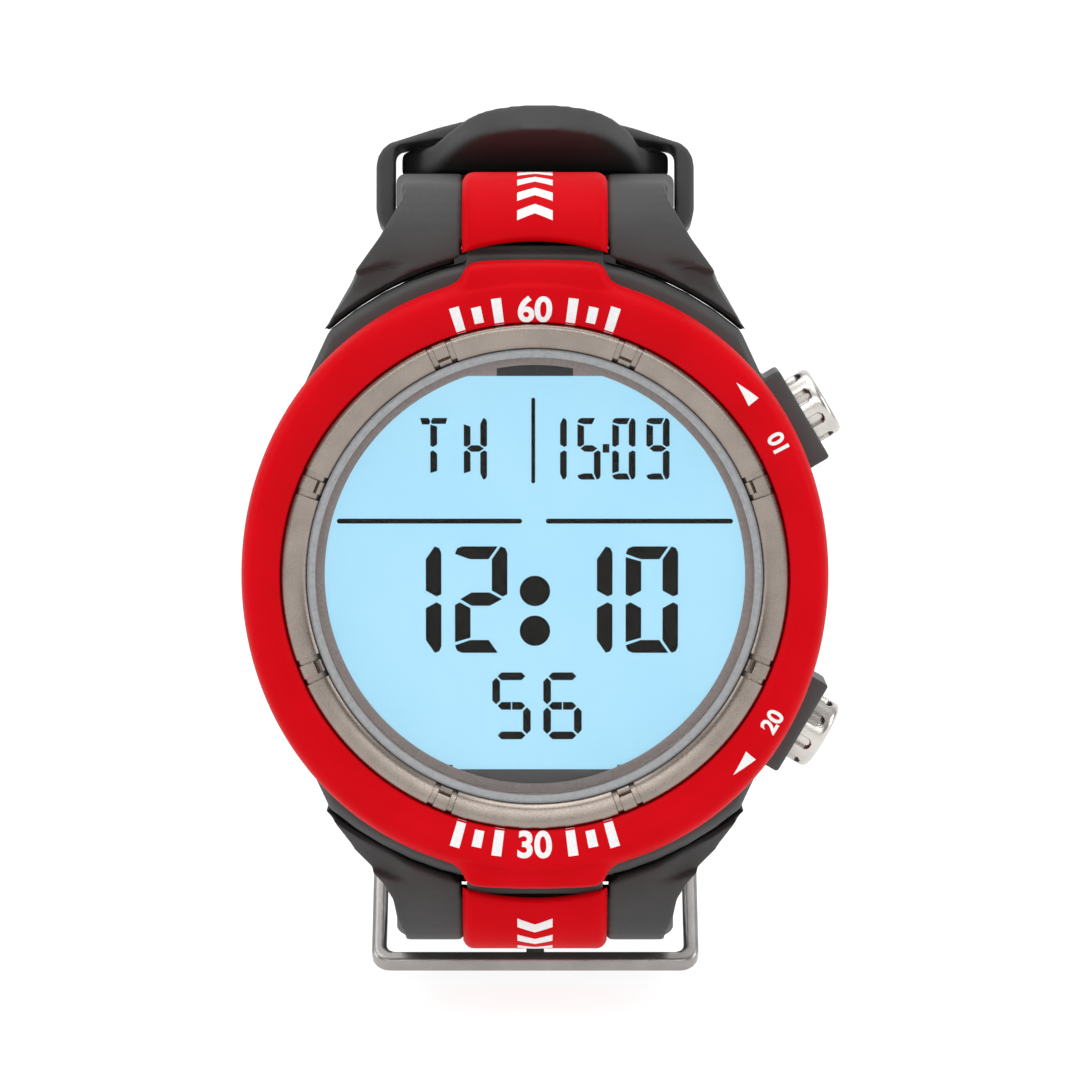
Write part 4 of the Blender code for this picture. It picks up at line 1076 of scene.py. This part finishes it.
def make_outlines(name, outlines, finish, depth):
    """Flat plates from outlines of (x, z) points, at one depth."""
    bm = bmesh.new()
    for outline in outlines:
        front = [bm.verts.new((x, depth, z)) for x, z in outline]
        back = [bm.verts.new((x, depth + PLATE_THICK, z)) for x, z in outline]
        bm.faces.new(front)
        bm.faces.new(back)
        for k in range(len(outline)):
            after = (k + 1) % len(outline)
            bm.faces.new([front[k], front[after], back[after], back[k]])
    return finish_mesh(name, bm, finish, "case")


def placed(shapes, left, bottom, height):
    """Outlines one unit high, brought to their place and height on the display."""
    return [[(left + u * height, bottom + v * height) for u, v in shape] for shape in shapes]


def digits(segments, text, lefts, bottom, height):
    outlines = []
    for digit, left in zip(text, lefts):
        lit = DIGITS[digit] + ("h" if "h" in segments else "")
        outlines += placed([segments[letter] for letter in lit], left, bottom, height)
    return outlines


def capsule(start, end, radius, steps=8):
    """The outline of a bar with round ends."""
    along = (Vector(end) - Vector(start)).normalized()
    side = Vector((-along.y, along.x))
    outline = []
    for centre, sign in ((Vector(end), 1), (Vector(start), -1)):
        for k in range(steps + 1):
            angle = math.pi * k / steps - math.pi / 2
            outward = along * math.cos(angle) + side * math.sin(angle)
            outline.append(tuple(centre + outward * radius * sign))
    return outline


def disc(centre, radius, steps=40):
    angles = [FULL_TURN * k / steps for k in range(steps)]
    return [(centre[0] + radius * math.cos(a), centre[1] + radius * math.sin(a)) for a in angles]


def make_display(finishes):
    large = unit_segments(0.49, 0.145, 0.12)
    small = unit_segments(0.376, 0.108, 0.10)
    outlines = digits(large, "1210", TIME_LEFTS, TIME_LOW, TIME_HEIGHT)
    outlines += [disc((0.0, height), COLON_R) for height in COLON_HEIGHTS]
    outlines += digits(small, "1509", DATE_LEFTS, DATE_LOW, DATE_HEIGHT)
    letter_h = [small[letter] for letter in "bceg"] + [LETTER_H_CORNER]
    outlines += placed(letter_h, LETTER_H_LEFT, DATE_LOW, DATE_HEIGHT)
    outlines += placed(LETTER_T, LETTER_T_LEFT, DATE_LOW, DATE_HEIGHT)
    outlines += [DATE_DOT, capsule((-0.13, 7.35), (-0.13, 13.8), 0.15)]
    outlines += [capsule((start, RULE_HEIGHT), (end, RULE_HEIGHT), RULE_HALF) for start, end in RULES]
    outlines += digits(hex_segments(0.571, 0.114), "56", SECONDS_LEFTS, SECONDS_LOW, SECONDS_HEIGHT)
    piece = make_outlines("display_segments", outlines, finishes["segment"], LCD_FRONT - 0.06)


def make_lens(finishes):
    """The lens, with a fine bevel round its front edge."""
    radius = LENS_R + 0.25
    profile = [(0, 0.0), (radius - 0.08, 0.0), (radius, 0.08), (radius, LENS_BACK), (0, LENS_BACK)]
    lens = lathe("lens_glass", profile, finishes["glass"])
    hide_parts("lens")


def make_lens_surround(finishes):
    """The seal that grips the lens's edge, and the flange seen through the glass beside it."""
    inner = LENS_R + 0.27
    gasket_high = extent("lens_gasket")[1]
    outer, back = gasket_high.x + 0.08, gasket_high.y
    seal = [(inner, LENS_BACK), (inner, 0.1), (inner - 0.04, -0.03), (inner + 0.12, -0.1)]
    seal += [(outer - 0.15, -0.1), (outer, 0.02), (outer, back), (inner, back)]
    gasket = lathe("gasket_ring", seal, finishes["gasket"])
    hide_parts("lens_gasket")
    hole, front = extent("display_flange")[0].x * -1 - FLANGE_SHOW, LENS_BACK + 0.03
    ring = [(hole, front), (inner - 0.02, front), (inner - 0.02, back), (hole, back)]
    flange = lathe("flange_ring", ring, finishes["flange"])
    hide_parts("display_flange")


def disc_edge(radius, chord, start):
    """The part of a disc's edge above a chord, from the start's x to the chord's end."""
    first = math.asin(start / radius)
    last = math.acos(chord / radius)
    angles = [first + (last - first) * k / 16 for k in range(17)]
    return [(radius * math.sin(angle), radius * math.cos(angle)) for angle in angles]


def make_display_mask(finishes):
    """The mask above the lit area, dark in its middle, and the one below it."""
    edge = disc_edge(LCD_R - 0.1, MASK_LOW, MASK_DARK_HALF)
    right = edge + [(MASK_DARK_HALF, MASK_LOW)]
    left = [(-x, z) for x, z in right]
    top = edge[0][1]
    middle = [(-MASK_DARK_HALF, MASK_LOW), (-MASK_DARK_HALF, top)]
    middle += [(MASK_DARK_HALF, top), (MASK_DARK_HALF, MASK_LOW)]
    make_outlines("mask_sides", [right, left], finishes["flange"], LCD_FRONT - 0.08)
    make_outlines("mask_middle", [middle], finishes["dark"], LCD_FRONT - 0.08)
    low_edge = disc_edge(LCD_R - 0.1, LIT_LOW, 0.0)
    bottom = [(x, -z) for x, z in low_edge] + [(-x, -z) for x, z in reversed(low_edge)]
    make_outlines("mask_bottom", [bottom], finishes["mask"], LCD_FRONT - 0.08)
    half = low_edge[-1][0] - 0.1
    foot = [(-half, LCD_FOOT), (half, LCD_FOOT), (half, -LIT_LOW), (-half, -LIT_LOW)]
    make_outlines("lcd_foot", [foot], finishes["lcd"], LCD_FRONT - 0.02)


# -------- camera, floor and lights

VIEW_ELEVATION = 5.0
VIEW_DISTANCE = 450.0
FRAME_WIDTH_MM = 84.67
AIM_RIGHT = 0.4
AIM_UP = 2.9
# The floor's half depth, the backdrop's height, the bend between them and the half width, in metres.
FLOOR_REACH, FLOOR_RISE, FLOOR_BEND, FLOOR_HALF = 1.6, 1.9, 0.6, 2.2
FLOOR_GAP = 0.0006
WORLD_LOW, WORLD_HIGH = 0.16, 0.53
# name: (place, what it points at, size, power), in metres and watts.
LIGHTS = {
    "overhead": ((-0.1, -0.35, 1.0), (0, 0, 0), (0.9, 0.6), 4.6),
    "front": ((-0.1, -0.85, 0.85), (0, 0, 0), (0.7, 0.4), 0.7),
    "left": ((-0.9, -0.1, 0.3), (0, 0, 0), (0.5, 0.6), 2.4),
    "right": ((0.9, -0.1, 0.3), (0, 0, 0), (0.5, 0.6), 2.8),
    "glint": ((0.0, -0.95, 0.26), (0, 0, -0.02), (0.7, 0.3), 1.8),
    "backdrop": ((0.0, 0.45, 1.4), (0, 1.1, 0.1), (1.8, 0.8), 8.3),
}


def make_camera():
    """A long lens a little above the display's axis, framed as a product photograph."""
    data = bpy.data.cameras.new("camera")
    camera = bpy.data.objects.new("camera", data)
    show(camera)
    tilt = math.radians(VIEW_ELEVATION)
    away = Vector((0, -math.cos(tilt), math.sin(tilt)))
    up = Vector((0, math.sin(tilt), math.cos(tilt)))
    camera.location = (away * VIEW_DISTANCE + up * AIM_UP + Vector((AIM_RIGHT, 0, 0))) * MM
    camera.rotation_euler = (math.radians(90 - VIEW_ELEVATION), 0, 0)
    data.lens = data.sensor_width * VIEW_DISTANCE / FRAME_WIDTH_MM
    data.clip_start = 0.01
    data.clip_end = 20
    bpy.context.scene.camera = camera


def area_light(name, place, target, size, power):
    data = bpy.data.lights.new(name, "AREA")
    data.shape = "RECTANGLE"
    data.size = size[0]
    data.size_y = size[1]
    data.energy = power
    lamp = bpy.data.objects.new(name, data)
    lamp.location = place
    lamp.rotation_euler = (Vector(target) - Vector(place)).to_track_quat("-Z", "Y").to_euler()
    show(lamp)


def make_stage():
    """A pale floor that curves up behind into a pale backdrop."""
    floor_z = cad_box[0][2] - FLOOR_GAP
    points = [(-FLOOR_REACH, floor_z)]
    for k in range(13):
        angle = math.radians(90 * k / 12)
        back = FLOOR_REACH - FLOOR_BEND + FLOOR_BEND * math.sin(angle)
        points.append((back, floor_z + FLOOR_BEND - FLOOR_BEND * math.cos(angle)))
    points.append((FLOOR_REACH, FLOOR_RISE))
    bm = bmesh.new()
    rows = [[bm.verts.new((x, y, z)) for y, z in points] for x in (-FLOOR_HALF, FLOOR_HALF)]
    bridge_rows(bm, rows, closed_rows=False)
    mesh = bpy.data.meshes.new("floor")
    bm.to_mesh(mesh)
    bm.free()
    mesh.shade_smooth()
    glow = {"Emission_Color": (1, 1, 1, 1), "Emission_Strength": 0.86}
    paper = Finish("pale_floor", (0.25, 0.25, 0.25), 0.9, **glow)
    paper.vary_colour(paper.noise(40.0, 2.0), (0.245,) * 3, (0.255,) * 3)
    mesh.materials.append(paper.material)
    floor = bpy.data.objects.new("floor", mesh)
    show(floor)


def make_world():
    """A studio that is bright overhead and dim all round."""
    world = bpy.data.worlds.new("studio")
    world.use_nodes = True
    nodes, links = world.node_tree.nodes, world.node_tree.links
    direction = nodes.new("ShaderNodeTexCoord").outputs["Generated"]
    split = nodes.new("ShaderNodeSeparateXYZ")
    links.new(direction, split.inputs["Vector"])
    spread_up = nodes.new("ShaderNodeMapRange")
    spread_up.interpolation_type = "SMOOTHSTEP"
    spread_up.inputs["From Min"].default_value = 0.0
    spread_up.inputs["From Max"].default_value = 0.8
    spread_up.inputs["To Min"].default_value = WORLD_LOW
    spread_up.inputs["To Max"].default_value = WORLD_HIGH
    links.new(split.outputs["Z"], spread_up.inputs["Value"])
    links.new(spread_up.outputs["Result"], nodes["Background"].inputs["Strength"])
    nodes["Background"].inputs["Color"].default_value = (1, 1, 1, 1)
    bpy.context.scene.world = world


def make_lights():
    make_world()
    for name, (place, target, size, power) in LIGHTS.items():
        area_light(name, place, target, size, power)


# -------- the whole picture

def main():
    finishes = make_finishes()
    dress_nodes(finishes)
    make_camera()
    make_stage()
    make_lights()
    bpy.context.scene.view_settings.view_transform = "Standard"
    make_bezel_cover(finishes)
    make_cover_marks(finishes)
    make_bezel_ring(finishes)
    make_button("sel_button", 1, finishes)
    make_button("esc_button", -1, finishes)
    make_small_mouldings(finishes)
    make_straps(finishes)
    make_inlay("upper_inlay_skin", "upper_strap_inlay", 1, "upper_strap", finishes)
    make_inlay("lower_inlay_skin", "lower_strap_inlay", -1, "case", finishes)
    make_lens(finishes)
    make_lens_surround(finishes)
    make_display_mask(finishes)
    make_display(finishes)


main()
